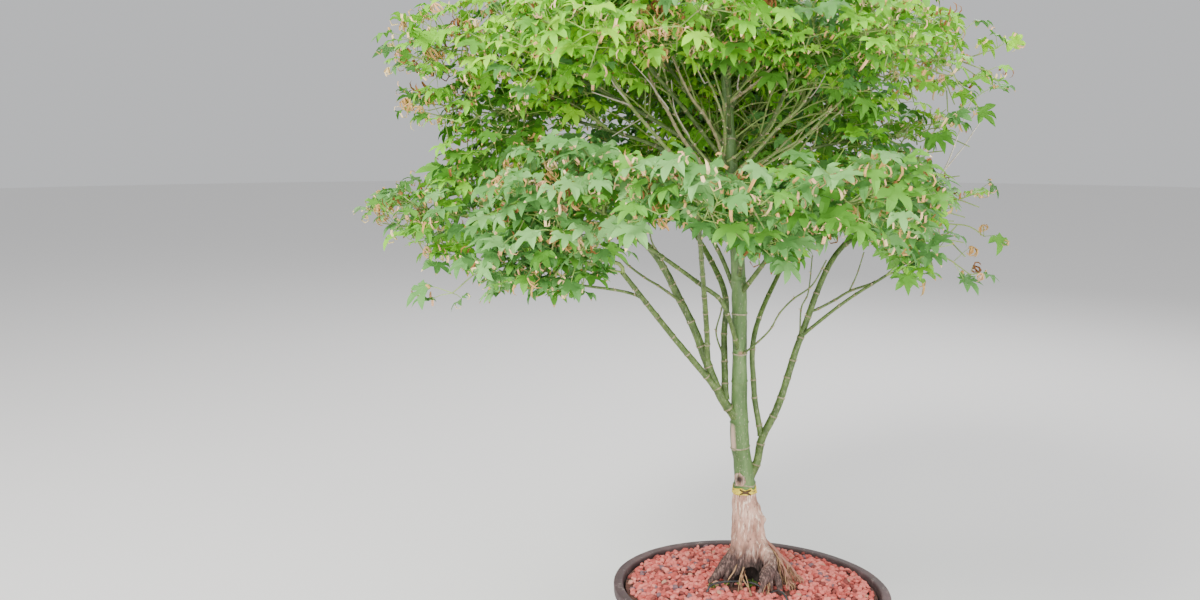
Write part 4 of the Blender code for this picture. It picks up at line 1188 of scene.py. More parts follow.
def build_thin_roots(limbs):
    """Loose roots and fibres that run from the flare over the gravel."""
    rng = random.Random(29)
    foot = limbs["trunk"].path[0]
    names = ("root_tan", "root_red", "root_dark")
    sheaf = Sheaf()
    paths = {}

    def add_root(controls, thick, thin, finish, sides=7):
        controls = [foot + Vector(point) / 1000 for point in controls]
        count = max(6, round(path_lengths(controls)[-1] / 0.003))
        path = smooth_path(controls, count)
        for index in range(1, count):
            place = path[index] * 130
            stray = [noise.noise(place + Vector((0, 0, offset))) for offset in (0, 31, 67)]
            path[index] = path[index] + Vector(stray) * ROOT_STRAY
        radii = [radius * (1 + 0.22 * noise.noise(point * 400))
                 for radius, point in zip(tapered(thick, thin, count), path)]
        points, faces = tube(path, radii, sides)
        sheaf.add(points, faces, names.index(finish))
        return path

    for name, (controls, thick, thin, finish) in THIN_ROOTS.items():
        paths[name] = add_root(controls, thick, thin, finish)
    for source, low, high, count in FIBRE_FANS:
        path = paths[source]
        for _ in range(count):
            start = path[int(rng.uniform(low, high) * (len(path) - 1))]
            x, y, z = (start - foot) * 1000
            run = rng.uniform(0.45, 1.05)
            end = (x + rng.uniform(1, 14) * run, y - rng.uniform(2, 26) * run, rng.uniform(-4, -1))
            middle = ((x + end[0]) / 2 + rng.uniform(-3, 3), (y + end[1]) / 2 + rng.uniform(-3, 3), z * 0.55)
            landing = (end[0] * 0.97 + x * 0.03, end[1] * 0.9 + y * 0.1, 3.0)
            finish = rng.choice(("root_tan", "root_tan", "root_dark", "root_red"))
            add_root(((x, y, z), middle, landing, end), rng.uniform(1.0, 2.4), 0.8, finish, 5)
    for (x, y, z), across, forward, count in ROOT_FIBRES:
        for _ in range(count):
            start = (x + rng.uniform(-4, 4), y + rng.uniform(-3, 3), z + rng.uniform(-5, 4))
            end = (rng.uniform(*across), rng.uniform(*forward), -3)
            middle = ((start[0] + end[0]) / 2, (start[1] + end[1]) / 2 - 2, rng.uniform(4, 9))
            finish = rng.choice(("root_tan", "root_tan", "root_dark"))
            add_root((start, middle, end), rng.uniform(1.0, 2.2), 0.7, finish, 5)
    item = sheaf.make("thin_roots", [plain_finish(name) for name in names])
    item.data.shade_smooth()
    finish_piece(item, "thin_roots", ("trunk",))


# The anchor wire over the gravel, in millimetres
WIRE_ROUTE = metres(((-53, -32, 101), (-50, -27.5, 106.8), (-44, -23, 108.8), (-34.9, -19, 109.6),
    (-23.5, -15, 109.6), (-9.7, -12.5, 109.2), (4.5, -12.8, 108.2), (15, -17, 105), (24.9, -24, 102),
    (34.6, -27.8, 107.5), (42.9, -37.4, 106.5), (47, -45, 99.5)))
WIRE_DIAMETER = 0.0030


def build_wire():
    """The black coated wire that anchors the tree, where it shows above the gravel."""
    path = smooth_path(WIRE_ROUTE, 48)
    item = curve_tube(path, [WIRE_DIAMETER / 2] * len(path))
    item.data.materials.append(grainy_material("black_wire_coating", 300, 4, 0.6, WIRE_COLOURS, 0.42, None))
    item.data.shade_smooth()
    finish_piece(item, "anchor_wire")


# Tufts of moss in millimetres: place and radius
MOSS_PLACES = metres(((1, -4, 105, 8), (-47, -18, 104.5, 6), (-30, -6, 104, 4), (-12, -4, 104, 5)))


def build_moss():
    """Tufts of moss in the hollow under the roots and at the flare's left end."""
    rng = random.Random(5)
    sheaf = Sheaf()
    for x, y, z, size in MOSS_PLACES:
        for _ in range(round(size * 14000)):
            place = Vector((rng.gauss(0, 1), rng.gauss(0, 1), 0)) * size * 0.42
            foot = Vector((x, y, z)) + place + Vector((0, 0, -0.002))
            lean = Vector((rng.uniform(-0.6, 0.6), rng.uniform(-0.6, 0.6), 1)).normalized()
            height = rng.uniform(0.0016, 0.0038)
            points, faces = tube([foot, foot + lean * height * 0.6, foot + lean * height],
                                 [0.0004, 0.00055, 0.0001], 4)
            sheaf.add(points, faces, 0 if rng.random() < 0.7 else 1)
    item = sheaf.make("moss", [plain_finish("moss_green"), plain_finish("moss_dark")])
    finish_piece(item, "moss")


# The tape's two strips: height of the middle above the band's, width, tilt and the tilt's phase
TAPE_STRIPS = ((0.0070, 0.0032, 0.0006, 0.4), (0.0022, 0.0040, 0.0010, 2.6))
TAPE_SIDES = 72
TAPE_ROWS = 5
# The knot on the tape's front: its place from the trunk's axis, and half its spread
KNOT_PLACE = (0.0010, -0.0152, 0.0046)
KNOT_HALF = (0.0066, 0.0030)


def build_band(limbs):
    """Two torn strips of tape round the graft, tied in a dark knot at the front."""
    low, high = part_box("graft_band")
    trunk = limbs["trunk"]
    middle = (low[2] + high[2]) / 2
    sheaf = Sheaf()
    for offset, width, tilt, phase in TAPE_STRIPS:
        outer = []
        for side in range(TAPE_SIDES):
            angle = math.tau * side / TAPE_SIDES
            torn = noise.noise(Vector((math.cos(angle) * 2.3, math.sin(angle) * 2.3, phase))) * 0.0024
            lean = tilt * math.sin(angle + phase)
            for row in range(TAPE_ROWS):
                share = row / (TAPE_ROWS - 1) - 0.5
                height = middle + offset + lean + share * (width + torn * 1.6) + torn * 0.5
                axis = trunk.at_height(height)
                wrinkle = noise.noise(Vector((angle * 5, share * 3, phase * 3))) * 0.0005
                base = max(station_radius(CORE_STATIONS, height - GROUND), stem_radius(height - GROUND))
                radius = base + 0.0003 + wrinkle - abs(share) * 0.0003
                outer.append((axis.x + radius * math.cos(angle), axis.y + radius * math.sin(angle), height))
        faces = []
        for side in range(TAPE_SIDES):
            for row in range(TAPE_ROWS - 1):
                near = side * TAPE_ROWS + row
                far = (side + 1) % TAPE_SIDES * TAPE_ROWS + row
                faces.append((near, far, far + 1, near + 1))
        sheaf.add(outer, faces, 0)
    axis = trunk.at_height(middle)
    knot_x, knot_y, knot_z = KNOT_PLACE
    front = Vector((axis.x + knot_x, axis.y + knot_y, middle + knot_z))
    half_x, half_z = KNOT_HALF
    for lean in (-half_z, half_z):
        ends = [front + Vector((-half_x, 0.0010, lean)), front, front + Vector((half_x, 0.0014, -lean))]
        points, faces = tube(ends, [0.0005, 0.0012, 0.0005], 7)
        sheaf.add(points, faces, 1)
    tape = grainy_material("yellow_graft_tape", 210, 6, 0.7, TAPE_COLOURS, 0.45, (0.4, 0.0005))
    item = sheaf.make("graft_tape_strips", [tape, plain_finish("knot_shadow")])
    apply_modifier(item, "SOLIDIFY", thickness=0.0007, offset=1.0)
    item.data.shade_smooth()
    finish_piece(item, "graft_tape_strips", ("graft_band",))


# Heights of the rings on the trunk above the graft, in millimetres, and those without tan bark
TRUNK_RINGS = metres((226.5, 273.5, 308, 362.5, 398.5, 449.5, 490, 535, 580, 620, 660, 700, 742, 786))
GREEN_RINGS = metres((308, 362.5, 490, 580))
# Old scars on the stem: both ends, how many spots make it, where a spot is whole and where it ends, colour
STEM_SCARS = (
    ((-0.0288, 0.0125, 0.3030), (-0.0262, 0.0125, 0.2765), 7, 0.0024, 0.0062, (0.640, 0.440, 0.340)),
    ((-0.0192, 0.0090, 0.3985), (-0.0126, 0.0090, 0.3985), 3, 0.0020, 0.0052, (0.330, 0.135, 0.090)),
)


# Places of the points across a ring, the width of its swelling, and half the width of its tan bark
RING_OFFSETS = (-0.0020, -0.0009, 0.0, 0.0009, 0.0020)
RING_SWELLING = 0.0013
RING_TAN = 0.0010


def ring_relief(distance, rings, swell):
    """How far the nearest ring's bark stands out at this length along the limb."""
    nearest = min((abs(distance - ring) for ring in rings), default=1.0)
    return swell * math.exp(-(nearest / RING_SWELLING) ** 2)


def strayed_along(path, row, point, amount):
    """A surface point moved up or down the limb, so that its rings run unevenly."""
    along = path[row] - path[max(row - 1, 0)]
    around = (point - path[row]) * 55
    return point + along.normalized() * noise.noise(around + point * 9) * amount


def limb_stations(length, rings, spacing):
    """Lengths along a limb at which it has a row of points, closer at its rings."""
    wanted = set()
    count = max(2, round(length / spacing))
    for index in range(count + 1):
        distance = length * index / count
        if all(abs(distance - ring) > 0.0021 for ring in rings):
            wanted.add(distance)
    for ring in rings:
        for offset in RING_OFFSETS:
            if 0 < ring + offset < length:
                wanted.add(ring + offset)
    return sorted(wanted)


def dressed_limb(limb, rings, spacing, sides, swell, relief=None, collar=0.0, start=0.0, wave=0.0,
                 tan_rings=None):
    """Points, faces and finishes of a limb with a swollen ring at each node.

    All rings have tan bark, or only the tan_rings where those are given. A collar is how much thicker
    the limb is at its start, and a wave is how unevenly its rings run.
    """
    stations = [place for place in limb_stations(limb.lengths[-1], rings, spacing) if place >= start]
    path = points_at(limb.path, limb.lengths, stations)
    radii = []
    for distance, radius in zip(stations, np.interp(stations, limb.lengths, limb.radii)):
        grown = radius + ring_relief(distance, rings, swell * radius)
        radii.append(grown + collar * radius * math.exp(-((distance - start) / 0.010) ** 2))
    points, faces = tube(path, radii, sides, relief)
    if wave:
        points = [strayed_along(path, index // sides, point, wave) for index, point in enumerate(points)]
    finishes = []
    for before, after in zip(stations, stations[1:]):
        middle = (before + after) / 2
        on_ring = any(abs(middle - ring) < RING_TAN for ring in (rings if tan_rings is None else tan_rings))
        finishes += [1 if on_ring else 0] * sides
    return points, faces, finishes + [0, 0]


# Where the dressed stem starts, inside the rootstock, and the most that it measures below the graft
STEM_START = 0.098
STEM_HIDDEN_RADIUS = 0.0118


def build_stem(limbs):
    """The trunk above the graft: smooth grey-green bark with tan rings at the old nodes."""
    path = smooth_path(limbs["trunk"].path, 240)
    limb = Limb(path, [stem_radius(point.z - GROUND) for point in path])
    start = next(limb.lengths[i] for i, point in enumerate(path) if point.z > GROUND + STEM_START)
    for index, point in enumerate(path):
        if point.z < GROUND + GRAFT_HEIGHT:
            limb.radii[index] = min(limb.radii[index], STEM_HIDDEN_RADIUS)
    rings = {}
    for height in TRUNK_RINGS:
        nearest = min(range(len(path)), key=lambda i: abs(path[i].z - height))
        rings[height] = limb.lengths[nearest]
    tan_rings = [place for height, place in rings.items() if height not in GREEN_RINGS]

    def relief(point, radius):
        rough = noise.noise(Vector((point.x * 150, point.y * 150, point.z * 30))) * 0.05
        return radius * (rough + noise.noise(point * 60) * 0.05)

    sheaf = Sheaf()
    sheaf.add(*dressed_limb(limb, list(rings.values()), 0.0026, 32, 0.09, relief, start=start, wave=0.0030,
                            tan_rings=tan_rings))
    bark = smooth_bark("grey_green_bark")
    tree = bark.node_tree
    base = tree.nodes["Principled BSDF"].inputs["Base Color"]
    colour = base.links[0].from_socket
    for low_end, high_end, spots, inner, outer, tint in STEM_SCARS:
        for spot in range(spots):
            place = Vector(low_end).lerp(Vector(high_end), spot / (spots - 1))
            colour = tint_near(tree, colour, place, inner, outer, tint)
    tree.links.new(colour, base)
    item = sheaf.make("trunk_stem", [bark, smooth_bark("tan_ring_bark")])
    smooth_by_angle(item, 50)
    finish_piece(item, "trunk_stem", ("trunk",))


def frame_near(limb, distance):
    """The tangent and two spokes of the limb near this length along it."""
    steps = len(limb.path) - 1
    return ring_frames(limb.path)[min(int(distance / limb.lengths[-1] * steps), steps)]


def add_buds(sheaf, limb, rings, start, finish, rng):
    """A small pointed bud beside most of the nodes, on one side or the other."""
    for distance in rings:
        if distance < start + 0.006 or rng.random() < 0.25:
            continue
        place = points_at(limb.path, limb.lengths, [distance + 0.0012])[0]
        tangent, across, upward = frame_near(limb, distance)
        spoke = spoke_at(across, upward, rng.uniform(0, math.tau))
        radius = float(np.interp(distance, limb.lengths, limb.radii))
        foot = place + spoke * radius * 0.85
        size = rng.uniform(0.0007, 0.0011)
        tip = foot + spoke * size * 2.0 + tangent * size * 1.6
        points, faces = tube([foot, foot.lerp(tip, 0.45), tip], [size, size * 0.95, size * 0.25], 5)
        sheaf.add(points, faces, finish)


def ring_places(first, last, spacing, low, high, rng):
    """Lengths of the rings along a limb, at an uneven spacing."""
    rings = []
    while first < last:
        rings.append(first)
        first += spacing * rng.uniform(low, high)
    return rings


def bough_relief(point, radius):
    return radius * noise.noise(point * 110) * 0.10


def build_boughs(settings, limbs):
    """The boughs' young green bark, with a tan ring and mostly a bud at each node."""
    materials = [smooth_bark("green_young_bark"), smooth_bark("bough_ring_bark"), plain_finish("pale_bud")]
    for name, spec in BOUGHS.items():
        rng = random.Random(name)
        limb = limbs[name]
        first = rng.uniform(0.018, 0.034)
        rings = ring_places(first, limb.lengths[-1] - 0.004, settings.node_spacing, 0.65, 1.35, rng)
        start = limbs[spec[0]].radius_near(limb.path[0]) * 0.4
        sheaf = Sheaf()
        sheaf.add(*dressed_limb(limb, rings, 0.005, 12, 0.16, bough_relief, 0.30, start))
        add_buds(sheaf, limb, rings, start, 2, rng)
        item = sheaf.make(name + "_bark", materials)
        smooth_by_angle(item, 60)
        finish_piece(item, name + "_bark", (name,))


# Thin limbs that leave the trunk and boughs, in millimetres: end diameters and points they run through
THIN_LIMBS = {
    "left_bough_twig": (3.6, 2.2, ((-90, 5, 461), (-117, -18, 485), (-133, -41, 499), (-153, -59, 518),
        (-168, -76, 540))),
    "left_bough_upright_twig": (2.8, 1.8, ((-104, 4, 484), (-116, -24, 522), (-126, -37, 542),
        (-129, -50, 570))),
    "back_thread": (2.8, 1.8, ((-41, 38, 392), (-50, 30, 420), (-45, 26, 445), (-40, 24, 470))),
    "right_thread": (2.8, 1.8, ((-14, 12, 400), (14, -2, 430), (26, -14, 455), (41, -26, 475),
        (62, -37, 494), (76, -49, 525))),
    "right_fork_upper": (3.6, 2.4, ((72, 55, 448), (97, 56, 462), (114, 48, 475), (149, 38, 492),
        (175, 30, 520))),
    "right_fork_spur": (2, 1.4, ((112, 49, 474), (121, 44, 496), (128, 40, 525))),
    "right_bough_thread": (2.4, 1.5, ((55, 44, 412), (55, 44, 452), (63, 42, 473), (66, 38, 520))),
}
# Stems of the upper crown, seen through its open heart, and how much thicker than noted they are
STEM_GROWTH = 1.2
UPPER_STEMS = {
    "fan_left_low": (4.6, 2.4, ((-60, 10, 598), (-104, -31, 645), (-138, -61, 686), (-150, -88, 704),
        (-176, -118, 750))),
    "fan_left_second": (4.4, 2.4, ((-55, 12, 610), (-91, -26, 661), (-107, -52, 692), (-120, -76, 716),
        (-134, -101, 755))),
    "fan_left_third": (2.4, 1.6, ((-50, 12, 620), (-83, -20, 661), (-104, -41, 700), (-110, -60, 733),
        (-120, -79, 765))),
    "fan_left_fourth": (3.4, 2, ((-45, 14, 634), (-52, -12, 661), (-66, -40, 689), (-82, -63, 711),
        (-105, -87, 760))),
    "fan_left_fifth": (2.8, 1.8, ((-44, 14, 645), (-44, -15, 678), (-57, -46, 717), (-76, -72, 752))),
    "fan_middle": (2.6, 1.8, ((-45, 16, 655), (-44, -10, 695), (-52, -31, 723), (-66, -50, 765))),
    "fan_right_first": (4, 2.2, ((-40, 14, 610), (-5, -3, 649), (20, -22, 678), (43, -42, 700),
        (63, -61, 738))),
    "fan_right_second": (3, 1.8, ((-42, 14, 634), (4, 2, 667), (18, -11, 695), (30, -26, 728))),
    "fan_right_low": (3, 1.8, ((-38, 14, 600), (16, -11, 647), (31, -43, 663), (74, -70, 695))),
    "fan_right_top": (3.4, 2.4, ((-46, 16, 700), (-4, -7, 730), (23, -20, 760), (37, -35, 785))),
    "fan_top": (3.4, 2.2, ((-47, 18, 735), (-8, 2, 763), (11, -7, 792), (27, -16, 822))),
    "fan_right_third": (3.4, 2, ((-36, 18, 606), (34, 8, 651), (68, -7, 684), (97, -26, 715))),
    "fan_right_fourth": (3, 2, ((-36, 22, 616), (45, 18, 661), (101, 12, 701), (144, 1, 732))),
}
# Dead twigs: bare, pale and broken off
DEAD_TWIGS = {
    "stub_left_top": (2, 1, ((-149, -87, 703), (-164, -111, 725), (-174, -127, 755))),
    "stub_left_side": (2, 1, ((-146, -83, 699), (-166, -111, 706), (-183, -129, 712))),
    "stub_middle": (1.6, 0.9, ((-83, -23, 663), (-99, -55, 694), (-102, -76, 727))),
    "stub_long": (1.8, 0.9, ((-105, -54, 694), (-118, -80, 713), (-125, -104, 725), (-141, -122, 743))),
    "stub_low": (1.5, 0.9, ((-135, -60, 686), (-149, -108, 674), (-160, -135, 665))),
    "stub_front": (2, 1.2, ((-30, -1, 722), (-24, -19, 752), (-23, -34, 770))),
    "stub_front_left": (1.8, 1, ((-66, -52, 724), (-77, -72, 746), (-84, -83, 762))),
    "stub_right": (1.6, 0.9, ((50, -48, 706), (58, -72, 717), (65, -81, 731))),
    "stub_right_high": (1.6, 0.9, ((58, -56, 730), (79, -59, 745), (93, -67, 762))),
    "bare_right": (2.2, 1.3, ((178, 100, 566), (214, 84, 611), (226, 75, 630), (239, 66, 678),
        (248, 58, 709))),
    "bare_right_fork": (1.8, 1, ((222, 80, 620), (245, 78, 652), (258, 76, 675), (267, 71, 690))),
}


def add_thin_limb(sheaf, points, thick, thin, finishes, spacing, rng, sides=6):
    """A thin limb with a swollen ring at each node. Gives the limb and its rings."""
    controls = [Vector(point) for point in points]
    count = max(6, round(path_lengths(controls)[-1] / 0.006))
    limb = Limb(smooth_path(controls, count), tapered(thick, thin, count))
    first = rng.uniform(0.4, 1.0) * spacing
    rings = ring_places(first, limb.lengths[-1] - 0.004, spacing, 0.7, 1.3, rng)
    points, faces, marks = dressed_limb(limb, rings, 0.006, sides, 0.30)
    sheaf.add(points, faces, [finishes[mark] for mark in marks])
    return limb, rings


def rooted(points, carriers):
    """A route of millimetres in metres, led back to the middle of the nearest limb that can carry it."""
    points = metres(points)
    foot = Vector(points[0])
    places = []
    for limb in carriers:
        places += points_at(limb.path, limb.lengths, np.arange(0.0, limb.lengths[-1], 0.002))
    nearest = min(places, key=lambda place: (place - foot).length_squared)
    return [nearest, *points[1:]] if (nearest - foot).length < 0.001 else [nearest, *points]


def build_thin_limbs(limbs):
    """The thin limbs, the fan of stems in the crown's heart and the dead twigs."""
    rng = random.Random(41)
    carriers = list(limbs.values())
    sheaf = Sheaf()
    for thick, thin, points in THIN_LIMBS.values():
        limb, rings = add_thin_limb(sheaf, rooted(points, carriers), thick, thin, (0, 1), 0.024, rng)
        add_buds(sheaf, limb, rings, 0.0, 2, rng)
        carriers.append(limb)
    item = sheaf.make("thin_limbs", [smooth_bark("thin_limb_bark"), plain_finish("thin_limb_ring"),
                                     plain_finish("pale_twig_bud")])
    item.data.shade_smooth()
    finish_piece(item, "thin_limbs")

    sheaf = Sheaf()
    for thick, thin, points in UPPER_STEMS.values():
        bark = 0 if rng.random() < 0.7 else 1
        limb, rings = add_thin_limb(sheaf, rooted(points, carriers), thick * STEM_GROWTH, thin * STEM_GROWTH,
                                    (bark, 2), 0.020, rng)
        add_buds(sheaf, limb, rings, 0.0, 4, rng)
        carriers.append(limb)
    for thick, thin, points in DEAD_TWIGS.values():
        carriers.append(add_thin_limb(sheaf, rooted(points, carriers), thick, thin, (3, 3), 0.016, rng, 5)[0])
    item = sheaf.make("upper_stems", [
        smooth_bark("upper_stem_bark"), smooth_bark("upper_stem_brown_bark"), plain_finish("upper_stem_ring"),
        smooth_bark("dead_twig_wood"), plain_finish("pale_twig_bud")])
    item.data.shade_smooth()
    finish_piece(item, "upper_stems")


# Twigs

TWIG_TIP_RADIUS = 0.0007
# How far towards the middle of its ends a twig forks, and the share of the stem's thickness it keeps
FORK_PLACE = 0.42
FORK_THICKNESS = 0.8
# Thickest twig that bears leaves, the most pairs of leaves on one, and the distances between pairs
LEAFY_RADIUS = 0.0015
MOST_PAIRS = 4
PAIR_SPACING = (0.017, 0.028)
# Trial places for twig ends in each mass, where they lie between its centre and its surface, and how far
# under the crown's top they stay
TWIG_CANDIDATES = 420
TWIG_REACHES = (0.30, 1.0)
TWIG_DEPTH = 0.012
TRUNK_TOP_X = -0.05
GOLDEN_ANGLE = math.pi * (3 - math.sqrt(5))


def is_under_the_crown(point, rng):
    """Below the crown's underside, along the line of sight from the photograph's camera."""
    share = (UNDERSIDE_PLANE_Y - CAMERA_PLACE[1]) / (point.y - CAMERA_PLACE[1])
    seen = Vector(CAMERA_PLACE).lerp(point, share)
    lowest = np.interp(seen.x, *zip(*UNDERSIDE))
    return seen.z < lowest + rng.gauss(0, 0.5) * UNDERSIDE_STRAY


def crown_top(point):
    """The height that leaves reach over this place: a low dome with a ragged surface."""
    reach = math.hypot(point.x - TOP_PLACE[0], point.y - TOP_PLACE[1]) / TOP_FALL_REACH
    ragged = noise.noise(Vector((point.x * 22, point.y * 22, 0.5)))
    return TOP_HEIGHT - TOP_FALL * reach ** 2 - TOP_STRAY * abs(ragged)


def oval_reach(point, centre, half):
    """How far a point is from an ellipsoid's centre, against its surface there."""
    return math.sqrt(sum(((point[i] - centre[i]) / half[i]) ** 2 for i in range(3)))


def is_kept(point, rng):
    """Whether foliage grows here: always outside the clearings, seldom or never within them."""
    if is_under_the_crown(point, rng):
        return False
    for centre, half, share in CLEARINGS.values():
        if oval_reach(point, centre, half) < 1 and rng.random() >= share:
            return False
    return True


def scaled_distance(mass, point):
    _, centre, half, _ = MASSES[mass]
    return oval_reach(point, centre, half)


def in_own_space(mass, point, reach, margin=0.0):
    """Inside the mass's ellipsoid, and nearer to it than to any other."""
    own = scaled_distance(mass, point)
    if own > reach:
        return False
    return all(scaled_distance(other, point) > own + margin for other in MASSES if other != mass)


def twig_ends(mass, wanted, rng):
    """Ends spread evenly over the mass: each new one is the candidate farthest from the rest."""
    _, centre, half, _ = MASSES[mass]
    candidates = []
    for index in range(TWIG_CANDIDATES):
        height = 1 - 2 * (index + 0.5) / TWIG_CANDIDATES
        ring = math.sqrt(1 - height ** 2)
        angle = index * GOLDEN_ANGLE + rng.uniform(-0.1, 0.1)
        reach = rng.uniform(*TWIG_REACHES) ** 0.6 * 0.92
        unit = Vector((ring * math.cos(angle), ring * math.sin(angle), height * 0.95))
        point = Vector([centre[i] + unit[i] * half[i] * reach for i in range(3)])
        is_low = point.z < crown_top(point) - TWIG_DEPTH
        if is_low and in_own_space(mass, point, 1.0) and is_kept(point, rng):
            candidates.append(point)
    outward = Vector(centre) - Vector((TRUNK_TOP_X, 0.0, centre[2]))
    chosen = [max(candidates, key=lambda point: point.dot(outward))]
    room = [(point - chosen[0]).length for point in candidates]
    while len(chosen) < min(wanted, len(candidates)):
        index = max(range(len(candidates)), key=lambda i: room[i])
        chosen.append(candidates[index])
        room = [min(known, (point - chosen[-1]).length) for known, point in zip(room, candidates)]
    return chosen


def split_ends(ends):
    """Two groups, parted across the direction in which the ends spread most."""
    middle = sum(ends, Vector()) / len(ends)
    farthest = max(ends, key=lambda point: (point - middle).length)
    axis = farthest - middle
    ordered = sorted(ends, key=lambda point: (point - middle).dot(axis))
    half = len(ordered) // 2
    return ordered[half:], ordered[:half]


def grow(path, radii, ends, total, stem_radius, twigs):
    """Carry a twig on to a fork, where one group of ends stays with it and one leaves it."""
    if len(ends) == 1:
        path.append(ends[0])
        radii.append(TWIG_TIP_RADIUS)
        twigs.append((path, radii))
        return
    middle = sum(ends, Vector()) / len(ends)
    fork = path[-1].lerp(middle, FORK_PLACE)
    share = math.sqrt(len(ends) / total)
    radius = TWIG_TIP_RADIUS + (stem_radius - TWIG_TIP_RADIUS) * share * FORK_THICKNESS
    path.append(fork)
    radii.append(radius)
    staying, leaving = split_ends(ends)
    side_path, side_radii = [fork], [radius * 0.85]
    grow(side_path, side_radii, leaving, total, stem_radius, twigs)
    grow(path, radii, staying, total, stem_radius, twigs)


def twig_limb(path, radii, rng):
    """A twig's rough line made a smooth limb that rises a little and then arches over."""
    controls = [point.copy() for point in path]
    for index in range(1, len(controls) - 1):
        controls[index].z += 0.004
        controls[index] += random_vector(rng, (-1, 1), (-1, 1), (-1, 1)) * 0.0025
    known = path_lengths(controls)
    count = max(4, round(known[-1] / 0.006))
    return Limb(smooth_path(controls, count), list(np.interp(even_steps(known[-1], count), known, radii)))


def twig_nodes(limb, rng):
    """Lengths along the twig, from its end inwards, at which a pair of leaves stands."""
    nodes = []
    distance = limb.lengths[-1]
    while distance > 0.008 and len(nodes) < MOST_PAIRS:
        if np.interp(distance, limb.lengths, limb.radii) > LEAFY_RADIUS:
            break
        nodes.append(distance)
        distance -= rng.uniform(*PAIR_SPACING)
    return nodes


# Leaves

# Bearing of each lobe in degrees and its length against the middle one
LOBE_ANGLES = (-136, -88, -44, 0, 44, 88, 136)
LOBE_LENGTHS = (0.32, 0.70, 0.93, 1.00, 0.93, 0.70, 0.32)
# Places along a lobe and half its width there, for fresh, hindmost, dry and withered lobes
FRESH_STATIONS = ((0.33, 0.115), (0.52, 0.168), (0.72, 0.132), (0.88, 0.056), (1.00, 0.0))
SMALL_STATIONS = ((0.55, 0.110), (1.00, 0.0))
DRIED_STATIONS = ((0.34, 0.116), (0.49, 0.138), (0.64, 0.080), (0.84, 0.072), (1.06, 0.056), (1.28, 0.0))
WITHERED_STATIONS = ((0.20, 0.060), (0.44, 0.095), (0.66, 0.082), (0.86, 0.056), (1.02, 0.0))
# How far from the hub the gaps between the lobes reach
SINUS_REACH = 0.335
SHRUNK_REACH = 0.07
# How far along a lobe its dry part starts, where it is curled and where only its point is dry
DRY_FROM = 0.70
DRY_POINT_FROM = 0.90
# A dry lobe's width against a fresh one's, how steeply it is folded in degrees, and where that starts
WITHERED_FOLD = (0.85, 50)
DRIED_FOLD = (0.90, 40)
FOLDED_FROM = 0.6


def lobe_line(stations, length, start_dip, end_dip, curl_from):
    """Places and headings along a lobe's midrib: (outward, up) pairs and dip angles."""
    outward, up, last = 0.0, 0.0, 0.0
    line = []
    for reach, _ in stations:
        share = max(0.0, (reach - curl_from) / (1 - curl_from))
        dip = start_dip + (end_dip - start_dip) * share ** 1.1
        step = (reach - last) * length
        outward += step * math.cos(dip)
        up += step * math.sin(dip)
        last = reach
        line.append((outward, up, dip))
    return line


def sinus_points(withered, rng):
    """The points between the lobes, and behind the hindmost."""
    between = [(a + b) / 2 for a, b in zip(LOBE_ANGLES, LOBE_ANGLES[1:])]
    points = []
    for angle in (LOBE_ANGLES[0] - 30, *between, LOBE_ANGLES[-1] + 30):
        turn = math.radians(angle)
        share = 0.42 if abs(angle) > 150 else 0.62 if abs(angle) > 100 else 1.0
        reach = SHRUNK_REACH if withered else SINUS_REACH * share
        points.append((math.sin(turn) * reach, math.cos(turn) * reach, -0.025 + rng.uniform(-0.02, 0.02)))
    return points


def draw_lobe_line(kind, stations, length, rng):
    """A midrib that droops a little where it is fresh, and curls where it is dried or withered."""
    if kind == "withered":
        return lobe_line(stations, length * 0.78, rng.uniform(-0.9, 0.3), rng.uniform(-4.2, -1.6), 0.15)
    if kind == "dried":
        end = rng.uniform(-4.2, -1.4) if rng.random() < 0.75 else rng.uniform(1.2, 3.2)
        return lobe_line(stations, length, rng.uniform(-0.20, 0.10), end, 0.50)
    return lobe_line(stations, length, rng.uniform(-0.08, 0.16), rng.uniform(-1.15, -0.15), 0.3)


